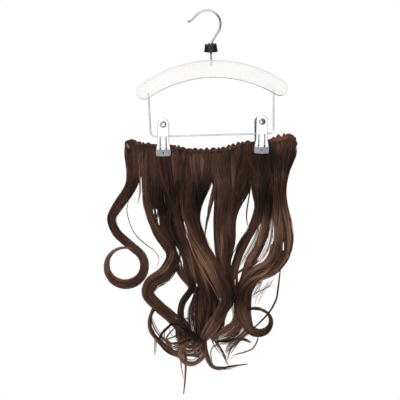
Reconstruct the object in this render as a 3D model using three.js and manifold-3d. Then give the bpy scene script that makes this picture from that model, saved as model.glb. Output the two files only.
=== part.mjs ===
// Hair extension: a gathered weft of wavy dark brown hair, held by two spring clips
// on the wire bail of a clear hanger. Millimetres, +Z up, the front faces -Y.
// The origin is the inside of the hook's crown, where the hanger sits on its rail.

import * as THREE from 'three';
import { mergeVertices } from 'three/addons/utils/BufferGeometryUtils.js';
import Module from 'manifold-3d';

const wasm = await Module();
wasm.setup();

// Whole hanger
const HANGER_TILT = 1.6;
const STEM_X = 6.3;
const FIT_GAP = 0.3;
const WIRE_BEND_STEP = 0.2;

// Clear board
const BOARD_TOP = -92.7;
const BOARD_HEIGHT = 33.6;
const BOARD_UPPER_RADIUS = 236;
const BOARD_LOWER_RADIUS = 222;
const BOARD_END_RADIUS = 15.1;
const BOARD_THICKNESS = 6;

// Hook wire
const HOOK_WIRE = 3.8;
const HOOK_RADIUS = 26;
const HOOK_ARC_END = 135;
const HOOK_MOUTH_RUN = 13;
const HOOK_FLARE_RADIUS = 13;
const HOOK_FLARE_TURN = 32;
const HOOK_TIP_BEAD = 5.2;
const NECK_CORNER_Z = -61.8;
const NECK_BEND_RADIUS = 9;
const STEM_INSET = 10;

// Cap on the stem
const CAP_TOP_Z = -61.8;
const CAP_HEIGHT = 15;
const CAP_TOP_DIAMETER = 21.5;
const CAP_FOOT_DIAMETER = 26.6;
const CAP_LIP = 2.4;
const CAP_BORE = 9;
const CAP_TIP = 9;
const CAP_SLOT = { width: 3, depth: 2, x: -6.6 };

// Wire bail under the board
const BAIL_WIRE = 3;
const BAIL_X = STEM_X - 2;
const BAIL_HALF_TOP = 119;
const BAIL_HALF_FOOT = 116.5;
const BAIL_Z = -235.2;
const BAIL_LEG_TOP_Z = -152;
const BAIL_CORNER_RADIUS = 9;

// Spring clips
const CLIPS = [
  { side: 'left', along: -95, lean: 0.4, backShift: 0 },
  { side: 'right', along: 92, lean: -1.1, backShift: -3 },
];
const PLATE = { half: 11, jawHalf: 13.2, top: 34.5, waist: -8, foot: -34, thickness: 1.4 };
const PLATE_LEAN = 5;
const PLATE_PIVOT_Y = 6.7;
const EYELET = { z: 22.5, hole: 8, rim: 12.8, height: 0.9 };
const FLUTE = { half: 5.6, top: 0, foot: -21, radius: 1.3, depth: 0.7, hole: 3 };
const PAD = { half: 13.9, top: -24.2, foot: -37.4, point: 0.9, corner: 2.5, hole: 3 };
const PAD_INNER_Y = 2.6;
const PAD_OUTER_TOP_Y = 7.4;
const PAD_OUTER_FOOT_Y = 5.8;
const SPRING = { outer: 12, bore: 3.8, length: 14 };

// Weft band
const WEFT_Z = -250;
const BAND_HEIGHT = 7;
const BAND_THICKNESS = 4.6;
const BAND_WALL = 0.9;
const BAND_CROWN = 1.2;
const SCALLOP_PITCH = 10.4;
const SCALLOP_HEIGHT = 3.8;
const RIPPLE = 1.3;
const PINCH_HALF = 17;
const ROOT_STRIP_DEPTH = 25;
const WEFT_END_TURN = 5.5;
const WEFT_END_RETURN = 16;

// The weft's lower line between gathers: distance across, and drop below WEFT_Z
const WEFT_LINE = table(['x', 'drop'], [
  [-157, 8], [-150, -2], [-140, -5], [-130, 1], [-100, 2], [-68, 3],
  [-52, 8], [-30, 12], [5, 13], [30, 11], [50, 5], [71, -1], [106, -5],
  [132, -10], [151, -12], [160, -15], [169, -8], [173.5, 4],
]);

// Hair
const LOCK_STEP = 23;
const LOCK_SIDES = 8;
const CURL_STEP = 13;
const CURL_SIDES = 6;
const ROOT_THICKNESS = 4;
const ROOT_HOLD = 18;
const SWELL_LENGTH = 55;
const FLATNESS = 0.5;
const THICKEST = 15;
const WAVE_LENGTH = 175;

// Locks: distance across, drop below WEFT_Z and width at each bend; depth is how far
// the lock lies behind the weft, sway how far its wave swings to front and back
const LOCK_COLUMNS = ['x', 'drop', 'width'];
const LOCKS = {
  outer_left: {
    depth: -2, sway: 7, phase: 0,
    rows: [
      [-139, 10, 33], [-138, 54, 30], [-145, 84, 21], [-168, 119, 20],
      [-180, 143, 17], [-171, 170, 16], [-149, 191, 16], [-131, 206, 16],
    ],
    curl: { way: 1, radius: 35, turns: 0.98, advance: -20, swell: 1.2, tip: 4 },
  },
  left_main: {
    depth: -4, sway: 6, phase: 1,
    rows: [
      [-107, 17, 36], [-106, 70, 38], [-101, 122, 38], [-87, 165, 36],
      [-64, 211, 27], [-78, 246, 30], [-105, 267, 28], [-111, 286, 22],
      [-92, 310, 21], [-68, 331, 22], [-47, 353, 22],
    ],
    curl: { way: 1, radius: 21, turns: 0.85, advance: -14, swell: 1, tip: 6 },
  },
  left_inner: {
    depth: 3, sway: 6, phase: 2.4,
    rows: [
      [-71, 20, 42], [-68, 70, 44], [-64, 123, 38], [-54, 169, 34],
      [-44, 216, 36], [-32, 251, 29], [-32, 276, 19], [-44, 304, 14],
      [-45, 331, 18], [-38, 357, 24], [-31, 382, 20], [-14, 398, 10],
    ],
  },
  centre_front: {
    depth: -9, sway: 6, phase: 0.5,
    rows: [
      [-31, 25, 34], [-33, 70, 34], [-32, 118, 32], [-24, 158, 30],
      [-8, 201, 28], [13, 239, 27], [31, 272, 27], [38, 296, 23],
      [28, 325, 23], [9, 350, 22], [-4, 370, 16], [-2, 394, 10],
      [12, 422, 9], [42, 424, 7], [71, 418, 3],
    ],
  },
  centre_deep: {
    depth: 9, sway: 5, phase: 3,
    rows: [
      [2, 27, 32], [-1, 56, 34], [-13, 89, 30], [-29, 122, 24],
      [-37, 156, 24], [-35, 194, 27], [-20, 232, 34], [-8, 266, 42],
      [-2, 298, 56], [-5, 331, 54], [-8, 359, 34],
    ],
    curl: { way: 1, radius: 23, turns: 0.8, advance: -12, swell: 0.55, tip: 4 },
  },
  centre_right: {
    depth: 1, sway: 5, phase: 4,
    rows: [
      [27, 26, 40], [30, 61, 42], [33, 108, 38], [29, 156, 32],
      [31, 198, 30], [35, 234, 25], [41, 268, 18], [39, 302, 18],
      [28, 332, 21], [15, 361, 18], [20, 386, 9], [33, 403, 6], [43, 421, 3],
    ],
  },
  centre_swing: {
    depth: 6, sway: 4, phase: 5,
    rows: [
      [67, 18, 36], [67, 51, 36], [66, 85, 34], [52, 118, 24],
      [45, 147, 21], [46, 184, 18], [43, 218, 13], [41, 251, 11],
      [44, 283, 11], [43, 312, 9], [37, 346, 9], [20, 374, 7],
    ],
  },
  right_swing: {
    depth: -1, sway: 5, phase: 1.5,
    rows: [
      [97, 9, 32], [96, 51, 33], [98, 89, 27], [100, 123, 20],
      [89, 165, 20], [70, 198, 20], [57, 226, 18], [51, 258, 15],
      [56, 291, 15], [66, 321, 15], [67, 348, 17], [55, 367, 17],
      [34, 378, 13], [14, 384, 5],
    ],
  },
  right_mid: {
    depth: 6, sway: 5, phase: 2.8,
    rows: [
      [121, 6, 23], [120, 51, 23], [118, 99, 23], [115, 137, 21],
      [110, 169, 18], [98, 203, 17], [84, 221, 19], [66, 244, 15],
      [60, 279, 17], [69, 311, 17], [78, 340, 15], [83, 363, 16], [78, 381, 12],
    ],
  },
  right_main: {
    depth: -7, sway: 6, phase: 3.6,
    rows: [
      [144, 3, 38], [140, 48, 30], [137, 86, 29], [138, 118, 31],
      [141, 150, 39], [143, 183, 40], [137, 213, 40], [121, 235, 36],
      [95, 249, 33], [74, 271, 34], [68, 298, 38], [70, 328, 34], [78, 346, 22],
    ],
    curl: { way: -1, radius: 22.5, turns: 0.78, advance: -12, swell: 0.55, tip: 3 },
  },
  right_edge: {
    depth: 5, sway: 4, phase: 4.6,
    rows: [
      [160, 0, 22], [160, 20, 19], [151, 51, 15], [145, 85, 15],
      [147, 120, 15], [155, 154, 15], [159, 186, 12], [152, 218, 11],
      [136, 238, 11], [116, 248, 8],
    ],
  },
  lower_arc: {
    depth: -6, sway: 3, phase: 0, loose: true,
    rows: [
      [-93, 306, 8], [-105, 326, 6], [-106, 351, 6], [-94, 372, 8],
      [-73, 390, 11], [-50, 402, 14], [-28, 409, 14], [-10, 403, 9], [-4, 387, 6],
    ],
  },
  long_tip: {
    depth: -6, sway: 2, phase: 2, loose: true,
    rows: [[-44, 396, 9], [-43, 420, 7], [-42, 447, 4], [-45, 477, 2]],
  },
};

// Materials
const CHROME = { color: 0xc9ccd0, metalness: 1, roughness: 0.18 };
const PAD_GREY = { color: 0x84878d, metalness: 0, roughness: 0.6 };
const CAP_BLACK = { color: 0x242426, metalness: 0, roughness: 0.45 };
const CLEAR = { color: 0xf2f4f5, metalness: 0, roughness: 0.08, transparent: true, opacity: 0.3 };
const HAIR_BROWN = { color: 0x3f2c24, metalness: 0, roughness: 0.42 };
const BAND_BROWN = { color: 0x33241e, metalness: 0, roughness: 0.7 };

// Table and shape helpers

function table(columns, rows) {
  return rows.map((row) => Object.fromEntries(columns.map((name, i) => [name, row[i]])));
}

function solid(geometry) {
  const bare = geometry.clone();
  bare.deleteAttribute('normal');
  bare.deleteAttribute('uv');
  const merged = mergeVertices(bare, 1e-4);
  return new wasm.Manifold(new wasm.Mesh({
    numProp: 3,
    vertProperties: new Float32Array(merged.attributes.position.array),
    triVerts: new Uint32Array(merged.index.array),
  }));
}

function geometryOf(body) {
  const raw = body.getMesh();
  const geometry = new THREE.BufferGeometry();
  geometry.setAttribute('position', new THREE.BufferAttribute(raw.vertProperties, 3));
  geometry.setIndex(new THREE.BufferAttribute(raw.triVerts, 1));
  geometry.computeVertexNormals();
  return geometry;
}

function piece(name, body, look) {
  const mesh = new THREE.Mesh(geometryOf(body), new THREE.MeshStandardMaterial(look));
  mesh.name = name;
  return mesh;
}

function unite(bodies) {
  return bodies.reduce((sum, body) => sum.add(body));
}

function bend(geometry, place) {
  const position = geometry.attributes.position;
  const point = new THREE.Vector3();
  for (let i = 0; i < position.count; i += 1) {
    point.fromBufferAttribute(position, i);
    place(point);
    position.setXYZ(i, point.x, point.y, point.z);
  }
  return geometry;
}

function interpolate(rows, key, value, at) {
  const last = rows.length - 1;
  const next = rows.findIndex((row) => row[key] > at);
  if (next === 0) return rows[0][value];
  if (next < 0) return rows[last][value];
  const low = rows[next - 1];
  const high = rows[next];
  const t = THREE.MathUtils.smoothstep(at, low[key], high[key]);
  return THREE.MathUtils.lerp(low[value], high[value], t);
}

function cylinder(diameter, length, sides = 12) {
  return new THREE.CylinderGeometry(diameter / 2, diameter / 2, length, sides);
}

// A sheet whose outline is drawn in x and z, lying from y = 0 to y = -thickness
function sheet(shape, thickness, curveSegments = 6) {
  const geometry = new THREE.ExtrudeGeometry(shape, {
    depth: thickness, bevelEnabled: false, curveSegments,
  });
  return geometry.rotateX(Math.PI / 2);
}

// The middle line of a bent wire, drawn in x and z: one step on a straight, more on a bend
class WireCurve extends THREE.Curve {
  constructor(path) {
    super();
    this.path = path;
    this.stops = [0];
    for (const run of path.curves) {
      const length = run.getLength();
      const bend = run.isEllipseCurve ? Math.abs(run.aEndAngle - run.aStartAngle) : 0;
      const count = length > FIT_GAP ? Math.max(1, Math.round(bend / WIRE_BEND_STEP)) : 0;
      const from = this.stops[this.stops.length - 1];
      for (let i = 1; i <= count; i += 1) {
        this.stops.push(from + (length * i) / (count * path.getLength()));
      }
    }
  }

  along(u) {
    const at = u * (this.stops.length - 1);
    const low = Math.min(Math.floor(at), this.stops.length - 2);
    return THREE.MathUtils.lerp(this.stops[low], this.stops[low + 1], at - low);
  }

  getPoint(t, target = new THREE.Vector3()) {
    const flat = this.path.getPointAt(Math.min(t, 1));
    return target.set(flat.x, 0, flat.y);
  }

  getPointAt(u, target) {
    return this.getPoint(this.along(u), target);
  }

  getTangentAt(u, target) {
    return this.getTangent(this.along(u), target);
  }
}

function wire(path, diameter) {
  const section = new THREE.Shape();
  section.absarc(0, 0, diameter / 2, 0, Math.PI * 2);
  const line = new WireCurve(path);
  return new THREE.ExtrudeGeometry(section, {
    extrudePath: line, steps: line.stops.length - 1, curveSegments: 5, bevelEnabled: false,
  });
}

// The board, symmetric about the stem

function boardShape() {
  const upperZ = BOARD_TOP - BOARD_UPPER_RADIUS;
  const lowerZ = BOARD_TOP - BOARD_HEIGHT - BOARD_LOWER_RADIUS;
  const toUpper = BOARD_UPPER_RADIUS - BOARD_END_RADIUS;
  const toLower = BOARD_LOWER_RADIUS + BOARD_END_RADIUS;
  const rise = upperZ - lowerZ;
  const endZ = (toLower ** 2 - toUpper ** 2 + rise ** 2) / (2 * rise) + lowerZ;
  const endX = Math.sqrt(toLower ** 2 - (endZ - lowerZ) ** 2);
  const upperAngle = Math.atan2(endZ - upperZ, endX);
  const lowerAngle = Math.atan2(endZ - lowerZ, endX);
  const shape = new THREE.Shape();
  shape.absarc(STEM_X, upperZ, BOARD_UPPER_RADIUS, upperAngle, Math.PI - upperAngle);
  shape.absarc(STEM_X - endX, endZ, BOARD_END_RADIUS, Math.PI - upperAngle, 2 * Math.PI - lowerAngle);
  shape.absarc(STEM_X, lowerZ, BOARD_LOWER_RADIUS, Math.PI - lowerAngle, lowerAngle, true);
  shape.absarc(STEM_X + endX, endZ, BOARD_END_RADIUS, Math.PI + lowerAngle, 2 * Math.PI + upperAngle);
  return shape;
}

function hangerBoard() {
  const board = sheet(boardShape(), BOARD_THICKNESS, 14).translate(0, BOARD_THICKNESS / 2, 0);
  const stemHole = cylinder(HOOK_WIRE + 2 * FIT_GAP, 2 * (STEM_INSET + FIT_GAP))
    .rotateX(Math.PI / 2)
    .translate(STEM_X, 0, BOARD_TOP);
  const legs = [-1, 1].map((hand) => {
    const top = legTop(hand);
    const down = legFoot(hand).sub(top).normalize();
    const hole = cylinder(BAIL_WIRE + 2 * FIT_GAP, 40).rotateX(Math.PI / 2);
    const centre = top.clone().addScaledVector(down, 20 - FIT_GAP);
    return solid(hole.rotateY(Math.atan2(down.x, down.y)).translate(centre.x, 0, centre.y));
  });
  return solid(board).subtract(unite([solid(stemHole), ...legs]));
}

// The hook: stem, neck, round crown, open mouth and flared tip

function hookPath() {
  const centre = new THREE.Vector2(0, HOOK_WIRE / 2 - HOOK_RADIUS);
  const corner = new THREE.Vector2(STEM_X, NECK_CORNER_Z);
  const reach = corner.clone().sub(centre);
  const spread = Math.acos(HOOK_RADIUS / reach.length());
  const neckAngle = reach.angle() - 2 * Math.PI + spread;
  const onCrown = pointOn(centre, HOOK_RADIUS, neckAngle);
  const neck = onCrown.clone().sub(corner).normalize();
  const neckTurn = Math.PI / 2 - neck.angle();
  const neckTrim = NECK_BEND_RADIUS * Math.tan(neckTurn / 2);
  const stemEnd = new THREE.Vector2(STEM_X, NECK_CORNER_Z - neckTrim);
  const neckCentre = new THREE.Vector2(STEM_X + NECK_BEND_RADIUS, stemEnd.y);
  const arcEnd = THREE.MathUtils.degToRad(HOOK_ARC_END);
  const mouth = pointOn(centre, HOOK_RADIUS, arcEnd);
  const run = new THREE.Vector2(Math.cos(arcEnd + Math.PI / 2), Math.sin(arcEnd + Math.PI / 2));
  const mouthEnd = mouth.clone().addScaledVector(run, HOOK_MOUTH_RUN);
  const flareCentre = pointOn(mouthEnd, HOOK_FLARE_RADIUS, arcEnd);
  const flareStart = arcEnd + Math.PI;
  const flareEnd = flareStart - THREE.MathUtils.degToRad(HOOK_FLARE_TURN);
  const path = new THREE.Path();
  path.moveTo(STEM_X, BOARD_TOP - STEM_INSET);
  path.lineTo(stemEnd.x, stemEnd.y);
  path.absarc(neckCentre.x, neckCentre.y, NECK_BEND_RADIUS, Math.PI, Math.PI - neckTurn, true);
  path.lineTo(onCrown.x, onCrown.y);
  path.absarc(centre.x, centre.y, HOOK_RADIUS, neckAngle, arcEnd);
  path.lineTo(mouthEnd.x, mouthEnd.y);
  path.absarc(flareCentre.x, flareCentre.y, HOOK_FLARE_RADIUS, flareStart, flareEnd, true);
  return path;
}

function pointOn(centre, radius, angle) {
  return new THREE.Vector2(
    centre.x + radius * Math.cos(angle),
    centre.y + radius * Math.sin(angle),
  );
}

function hook() {
  const path = hookPath();
  const tip = path.getPointAt(1);
  const bead = new THREE.SphereGeometry(HOOK_TIP_BEAD / 2, 12, 8).translate(tip.x, 0, tip.y);
  return solid(wire(path, HOOK_WIRE)).add(solid(bead));
}

function hookCap() {
  const bore = CAP_BORE / 2;
  const profile = [
    [bore, 0], [CAP_FOOT_DIAMETER / 2, 0], [CAP_FOOT_DIAMETER / 2, CAP_LIP],
    [CAP_FOOT_DIAMETER / 2 - 1, CAP_LIP + 0.6], [CAP_TOP_DIAMETER / 2 + 0.4, CAP_HEIGHT - 1.2],
    [CAP_TOP_DIAMETER / 2 - 0.8, CAP_HEIGHT], [bore, CAP_HEIGHT], [bore, 0],
  ].map(([radius, z]) => new THREE.Vector2(radius, z));
  const cone = new THREE.LatheGeometry(profile, 24).rotateX(Math.PI / 2);
  const slot = new THREE.BoxGeometry(CAP_SLOT.width, CAP_FOOT_DIAMETER, 2 * CAP_SLOT.depth)
    .translate(CAP_SLOT.x, 0, CAP_HEIGHT);
  return solid(cone).subtract(solid(slot));
}

// The bail: two legs let into the board and a bar between rounded corners

function legTop(hand) {
  return new THREE.Vector2(BAIL_X + hand * BAIL_HALF_TOP, BAIL_LEG_TOP_Z);
}

function legFoot(hand) {
  return new THREE.Vector2(BAIL_X + hand * BAIL_HALF_FOOT, BAIL_Z);
}

function bailPath() {
  const down = legFoot(-1).sub(legTop(-1)).normalize();
  const turn = Math.PI / 2 - Math.atan2(down.x, -down.y);
  const trim = BAIL_CORNER_RADIUS * Math.tan(turn / 2);
  const left = legFoot(-1).addScaledVector(down, -trim);
  const right = legFoot(1);
  const cornerZ = BAIL_Z + BAIL_CORNER_RADIUS;
  const leftX = legFoot(-1).x + trim;
  const rightX = right.x - trim;
  const path = new THREE.Path();
  path.moveTo(legTop(-1).x, legTop(-1).y);
  path.lineTo(left.x, left.y);
  path.absarc(leftX, cornerZ, BAIL_CORNER_RADIUS, 1.5 * Math.PI - turn, 1.5 * Math.PI);
  path.lineTo(rightX, BAIL_Z);
  path.absarc(rightX, cornerZ, BAIL_CORNER_RADIUS, 1.5 * Math.PI, 1.5 * Math.PI + turn);
  path.lineTo(legTop(1).x, legTop(1).y);
  return path;
}

// One half of a clip: a fluted plate with an eyelet, and its jaw pad

function plateShape() {
  const shape = new THREE.Shape();
  const shoulder = PLATE.top - PLATE.half;
  shape.moveTo(-PLATE.jawHalf, PLATE.foot);
  shape.lineTo(PLATE.jawHalf, PLATE.foot);
  shape.lineTo(PLATE.jawHalf, PAD.top);
  shape.lineTo(PLATE.half, PLATE.waist);
  shape.lineTo(PLATE.half, shoulder);
  shape.absarc(0, shoulder, PLATE.half, 0, Math.PI);
  shape.lineTo(-PLATE.half, PLATE.waist);
  shape.lineTo(-PLATE.jawHalf, PAD.top);
  const holes = [
    { x: 0, z: EYELET.z, hole: EYELET.hole },
    { x: -FLUTE.half, z: FLUTE.foot, hole: FLUTE.hole },
    { x: FLUTE.half, z: FLUTE.foot, hole: FLUTE.hole },
  ];
  for (const { x, z, hole } of holes) {
    const ring = new THREE.Path();
    ring.absarc(x, z, hole / 2, 0, 2 * Math.PI, true);
    shape.holes.push(ring);
  }
  return shape;
}

function tilted(geometry) {
  return geometry.rotateX(THREE.MathUtils.degToRad(PLATE_LEAN)).translate(0, -PLATE_PIVOT_Y, 0);
}

function clipPlate() {
  const plate = sheet(plateShape(), PLATE.thickness, 5);
  const ringProfile = [
    [EYELET.hole / 2, 0], [EYELET.rim / 2, 0], [EYELET.rim / 2 - 0.7, EYELET.height],
    [EYELET.hole / 2 + 0.5, EYELET.height], [EYELET.hole / 2, 0],
  ].map(([radius, out]) => new THREE.Vector2(radius, out));
  const rim = new THREE.LatheGeometry(ringProfile, 10)
    .rotateX(Math.PI)
    .translate(0, 0.2 - PLATE.thickness, EYELET.z);
  const flutes = [-1, 1].map((hand) => {
    const length = FLUTE.top - FLUTE.foot;
    return cylinder(2 * FLUTE.radius, length, 6)
      .rotateX(Math.PI / 2)
      .translate(
        hand * FLUTE.half,
        FLUTE.depth - FLUTE.radius - PLATE.thickness,
        FLUTE.foot + length / 2,
      );
  });
  return solid(tilted(plate))
    .add(solid(tilted(rim)))
    .subtract(unite(flutes.map((flute) => solid(tilted(flute)))));
}

function clipPad() {
  const shape = new THREE.Shape();
  const { half, top, foot, point, corner } = PAD;
  shape.moveTo(-half, top);
  shape.lineTo(-half, foot + corner);
  shape.quadraticCurveTo(-half, foot, corner - half, foot);
  shape.lineTo(0, foot - point);
  shape.lineTo(half - corner, foot);
  shape.quadraticCurveTo(half, foot, half, foot + corner);
  shape.lineTo(half, top);
  const hole = new THREE.Path();
  hole.absarc(0, (top + foot) / 2, PAD.hole / 2, 0, 2 * Math.PI, true);
  shape.holes.push(hole);
  const block = bend(sheet(shape, 1, 4), (at) => {
    const t = (at.z - foot) / (top - foot);
    const outer = THREE.MathUtils.lerp(PAD_OUTER_FOOT_Y, PAD_OUTER_TOP_Y, t);
    at.y = at.y < -0.5 ? -outer : -PAD_INNER_Y;
  });
  const slotHeight = PAD.top - PLATE.foot + 2 * FIT_GAP;
  const slot = new THREE.BoxGeometry(
    2 * (PLATE.jawHalf + FIT_GAP),
    PLATE.thickness + 2 * FIT_GAP,
    2 * slotHeight,
  );
  slot.translate(0, -PLATE.thickness / 2, PAD.top - FIT_GAP);
  return solid(block).subtract(solid(tilted(slot)));
}

function clipSpring() {
  const { outer, bore, length } = SPRING;
  const profile = [
    [bore / 2, -length / 2], [outer / 2, -length / 2],
    [outer / 2, length / 2], [bore / 2, length / 2], [bore / 2, -length / 2],
  ].map(([radius, along]) => new THREE.Vector2(radius, along));
  return solid(new THREE.LatheGeometry(profile, 14).rotateZ(-Math.PI / 2));
}

function clip({ side, along, lean, backShift }) {
  const group = new THREE.Group();
  const halves = [
    { face: 'front', turn: 0, shift: 0 },
    { face: 'back', turn: Math.PI, shift: backShift },
  ];
  for (const { face, turn, shift } of halves) {
    const plate = piece(`clip_${side}_${face}_plate`, clipPlate(), CHROME);
    const pad = piece(`clip_${side}_${face}_pad`, clipPad(), PAD_GREY);
    for (const mesh of [plate, pad]) {
      mesh.rotation.z = turn;
      mesh.position.x = shift;
      group.add(mesh);
    }
  }
  group.add(piece(`clip_${side}_spring`, clipSpring(), CHROME));
  group.position.set(STEM_X + along, 0, BAIL_Z);
  group.rotation.y = THREE.MathUtils.degToRad(HANGER_TILT - lean);
  return group;
}

// The weft: a line in plan with both ends turned back, gathered except where it is pinched

function weftPlan() {
  const left = WEFT_LINE[0].x + BAND_THICKNESS / 2 + RIPPLE;
  const right = WEFT_LINE[WEFT_LINE.length - 1].x - BAND_THICKNESS / 2 - RIPPLE;
  const turn = WEFT_END_TURN;
  const path = new THREE.Path();
  path.moveTo(left + turn + WEFT_END_RETURN, 2 * turn);
  path.lineTo(left + turn, 2 * turn);
  path.absarc(left + turn, turn, turn, Math.PI / 2, 1.5 * Math.PI);
  path.lineTo(right - turn, 0);
  path.absarc(right - turn, turn, turn, -Math.PI / 2, Math.PI / 2);
  path.lineTo(right - turn - WEFT_END_RETURN, 2 * turn);
  return path;
}

function clipAcross({ along }) {
  const tilt = THREE.MathUtils.degToRad(HANGER_TILT);
  return (STEM_X + along) * Math.cos(tilt) - BAIL_Z * Math.sin(tilt);
}

function looseness(x) {
  const pinches = CLIPS.map((at) => {
    const away = Math.abs(x - clipAcross(at)) - PINCH_HALF;
    return THREE.MathUtils.smoothstep(away, 0, 8);
  });
  return Math.min(...pinches);
}

// A strip of the weft: place says how thick it is and how high its two edges lie
function weftStrip(edges) {
  const plan = weftPlan();
  const count = 2 * Math.round(plan.getLength() / SCALLOP_PITCH);
  const strip = new THREE.BoxGeometry(1, 1, 1, count, 1, 1);
  return bend(strip, (at) => {
    const t = at.x + 0.5;
    const step = Math.round(t * count);
    const spot = plan.getPointAt(t);
    const along = plan.getTangentAt(t);
    const peak = step % 2;
    const { thickness, top, foot } = edges(spot.x, peak * looseness(spot.x));
    const ripple = RIPPLE * (peak - 0.5) * looseness(spot.x);
    const out = at.y * thickness + ripple;
    const z = at.z > 0 ? top : foot;
    at.set(spot.x - along.y * out, spot.y + along.x * out, z);
  });
}

function weftLine(x) {
  return WEFT_Z - interpolate(WEFT_LINE, 'x', 'drop', x);
}

function weftBand() {
  const outer = weftStrip((x, peak) => ({
    thickness: BAND_THICKNESS,
    top: weftLine(x) + SCALLOP_HEIGHT * peak,
    foot: weftLine(x) - BAND_HEIGHT,
  }));
  const inner = weftStrip((x) => ({
    thickness: BAND_THICKNESS - 2 * BAND_WALL,
    top: weftLine(x) - BAND_CROWN,
    foot: weftLine(x) - BAND_HEIGHT - 1,
  }));
  return solid(outer).subtract(solid(inner));
}

function rootStrip() {
  return solid(weftStrip((x) => ({
    thickness: BAND_THICKNESS - 2 * BAND_WALL - 2 * FIT_GAP,
    top: weftLine(x) - BAND_CROWN - FIT_GAP,
    foot: weftLine(x) - ROOT_STRIP_DEPTH,
  })));
}

// A lock: a cylinder bent along a path, flattened to the width and thickness it has there
function sweepLock(path, steps, sides, size) {
  const rod = new THREE.CylinderGeometry(1, 1, 1, sides, steps);
  const deep = new THREE.Vector3(0, 1, 0);
  const side = new THREE.Vector3();
  const face = new THREE.Vector3();
  return bend(rod, (at) => {
    const t = THREE.MathUtils.clamp(0.5 - at.y, 0, 1);
    const { width, thickness } = size(t);
    const heading = path.getTangent(t);
    side.crossVectors(heading, deep).normalize();
    face.crossVectors(heading, side);
    const across = at.x * width / 2;
    const through = at.z * thickness / 2;
    path.getPoint(t, at);
    at.addScaledVector(side, across).addScaledVector(face, through);
  });
}

function lockPath({ depth, sway, phase, rows, loose = false }) {
  const sections = table(LOCK_COLUMNS, rows);
  let run = 0;
  const points = sections.map(({ x, drop }, i) => {
    const last = sections[Math.max(i - 1, 0)];
    run += Math.hypot(x - last.x, drop - last.drop);
    const free = loose ? 1 : THREE.MathUtils.smoothstep(run, ROOT_HOLD, SWELL_LENGTH + ROOT_HOLD);
    const swing = sway * Math.sin((2 * Math.PI * run) / WAVE_LENGTH + phase);
    return new THREE.Vector3(x, free * (depth + swing), WEFT_Z - drop);
  });
  return { path: new THREE.CatmullRomCurve3(points), sections, run };
}

function lockThickness(width, run, loose) {
  const full = Math.min(width * FLATNESS + 2, THICKEST);
  const swell = loose ? 1 : THREE.MathUtils.smoothstep(run, ROOT_HOLD, ROOT_HOLD + SWELL_LENGTH);
  return THREE.MathUtils.lerp(Math.min(ROOT_THICKNESS, full), full, swell);
}

function lock(form) {
  const { path, sections, run } = lockPath(form);
  const last = sections.length - 1;
  const widthAt = (t) => {
    const at = Math.min(Math.floor(t * last), last - 1);
    return THREE.MathUtils.lerp(sections[at].width, sections[at + 1].width, t * last - at);
  };
  const steps = Math.round(run / LOCK_STEP);
  const sides = form.loose ? CURL_SIDES : LOCK_SIDES;
  const body = solid(sweepLock(path, steps, sides, (t) => {
    const width = widthAt(t);
    return { width, thickness: lockThickness(width, t * run, form.loose) };
  }));
  return form.curl ? body.add(curl(path, sections[last].width, form.curl)) : body;
}

// The curled end of a lock: a spiral that goes on from the lock's last direction
function curl(path, width, { way, radius, turns, advance, swell, tip }) {
  const start = path.getPoint(1);
  const heading = path.getTangent(1).setY(0).normalize();
  const inward = new THREE.Vector3(heading.z, 0, -heading.x).multiplyScalar(way);
  const centre = start.clone().addScaledVector(inward, radius);
  const count = Math.round(12 * turns) + 1;
  const points = Array.from({ length: count }, (_, i) => {
    const t = i / (count - 1);
    const turn = 2 * Math.PI * turns * t;
    return centre.clone()
      .addScaledVector(inward, -radius * Math.cos(turn))
      .addScaledVector(heading, radius * Math.sin(turn))
      .add(new THREE.Vector3(0, advance * t, 0));
  });
  const ring = new THREE.CatmullRomCurve3(points);
  const steps = Math.round(ring.getLength() / CURL_STEP);
  return solid(sweepLock(ring, steps, CURL_SIDES, (t) => {
    const full = width * THREE.MathUtils.lerp(0.96, swell, Math.min(2 * t, 1));
    const end = THREE.MathUtils.lerp(full, tip, THREE.MathUtils.smoothstep(t, 0.3, 0.95));
    return { width: end, thickness: lockThickness(end, 0, true) };
  }));
}

// Hollows that the locks close in between them are filled
function hair() {
  const shells = unite([rootStrip(), ...Object.values(LOCKS).map(lock)]).decompose();
  return unite(shells.filter((shell) => shell.volume() > 0));
}

// Assembly

const hanger = new THREE.Group();
hanger.add(piece('hanger_body', hangerBoard(), CLEAR));
hanger.add(piece('hook', hook(), CHROME));
hanger.add(piece('bail', solid(wire(bailPath(), BAIL_WIRE)), CHROME));

const cap = piece('hook_cap', hookCap(), CAP_BLACK);
cap.rotation.x = THREE.MathUtils.degToRad(CAP_TIP);
cap.position.set(STEM_X, 0, CAP_TOP_Z - CAP_HEIGHT);
hanger.add(cap);

for (const form of CLIPS) {
  hanger.add(clip(form));
}
hanger.rotation.y = -THREE.MathUtils.degToRad(HANGER_TILT);

const part = new THREE.Group();
part.name = 'hair_extension';
part.add(hanger);
part.add(piece('weft_band', weftBand(), BAND_BROWN));
part.add(piece('hair', hair(), HAIR_BROWN));

export default part;
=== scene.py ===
"""Hair extension on a clear clip hanger: the finished pieces, their materials, the studio and the camera."""

import math
from types import SimpleNamespace as Sizes

import bmesh
import bpy
import numpy as np
from mathutils import Matrix, Vector


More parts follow.
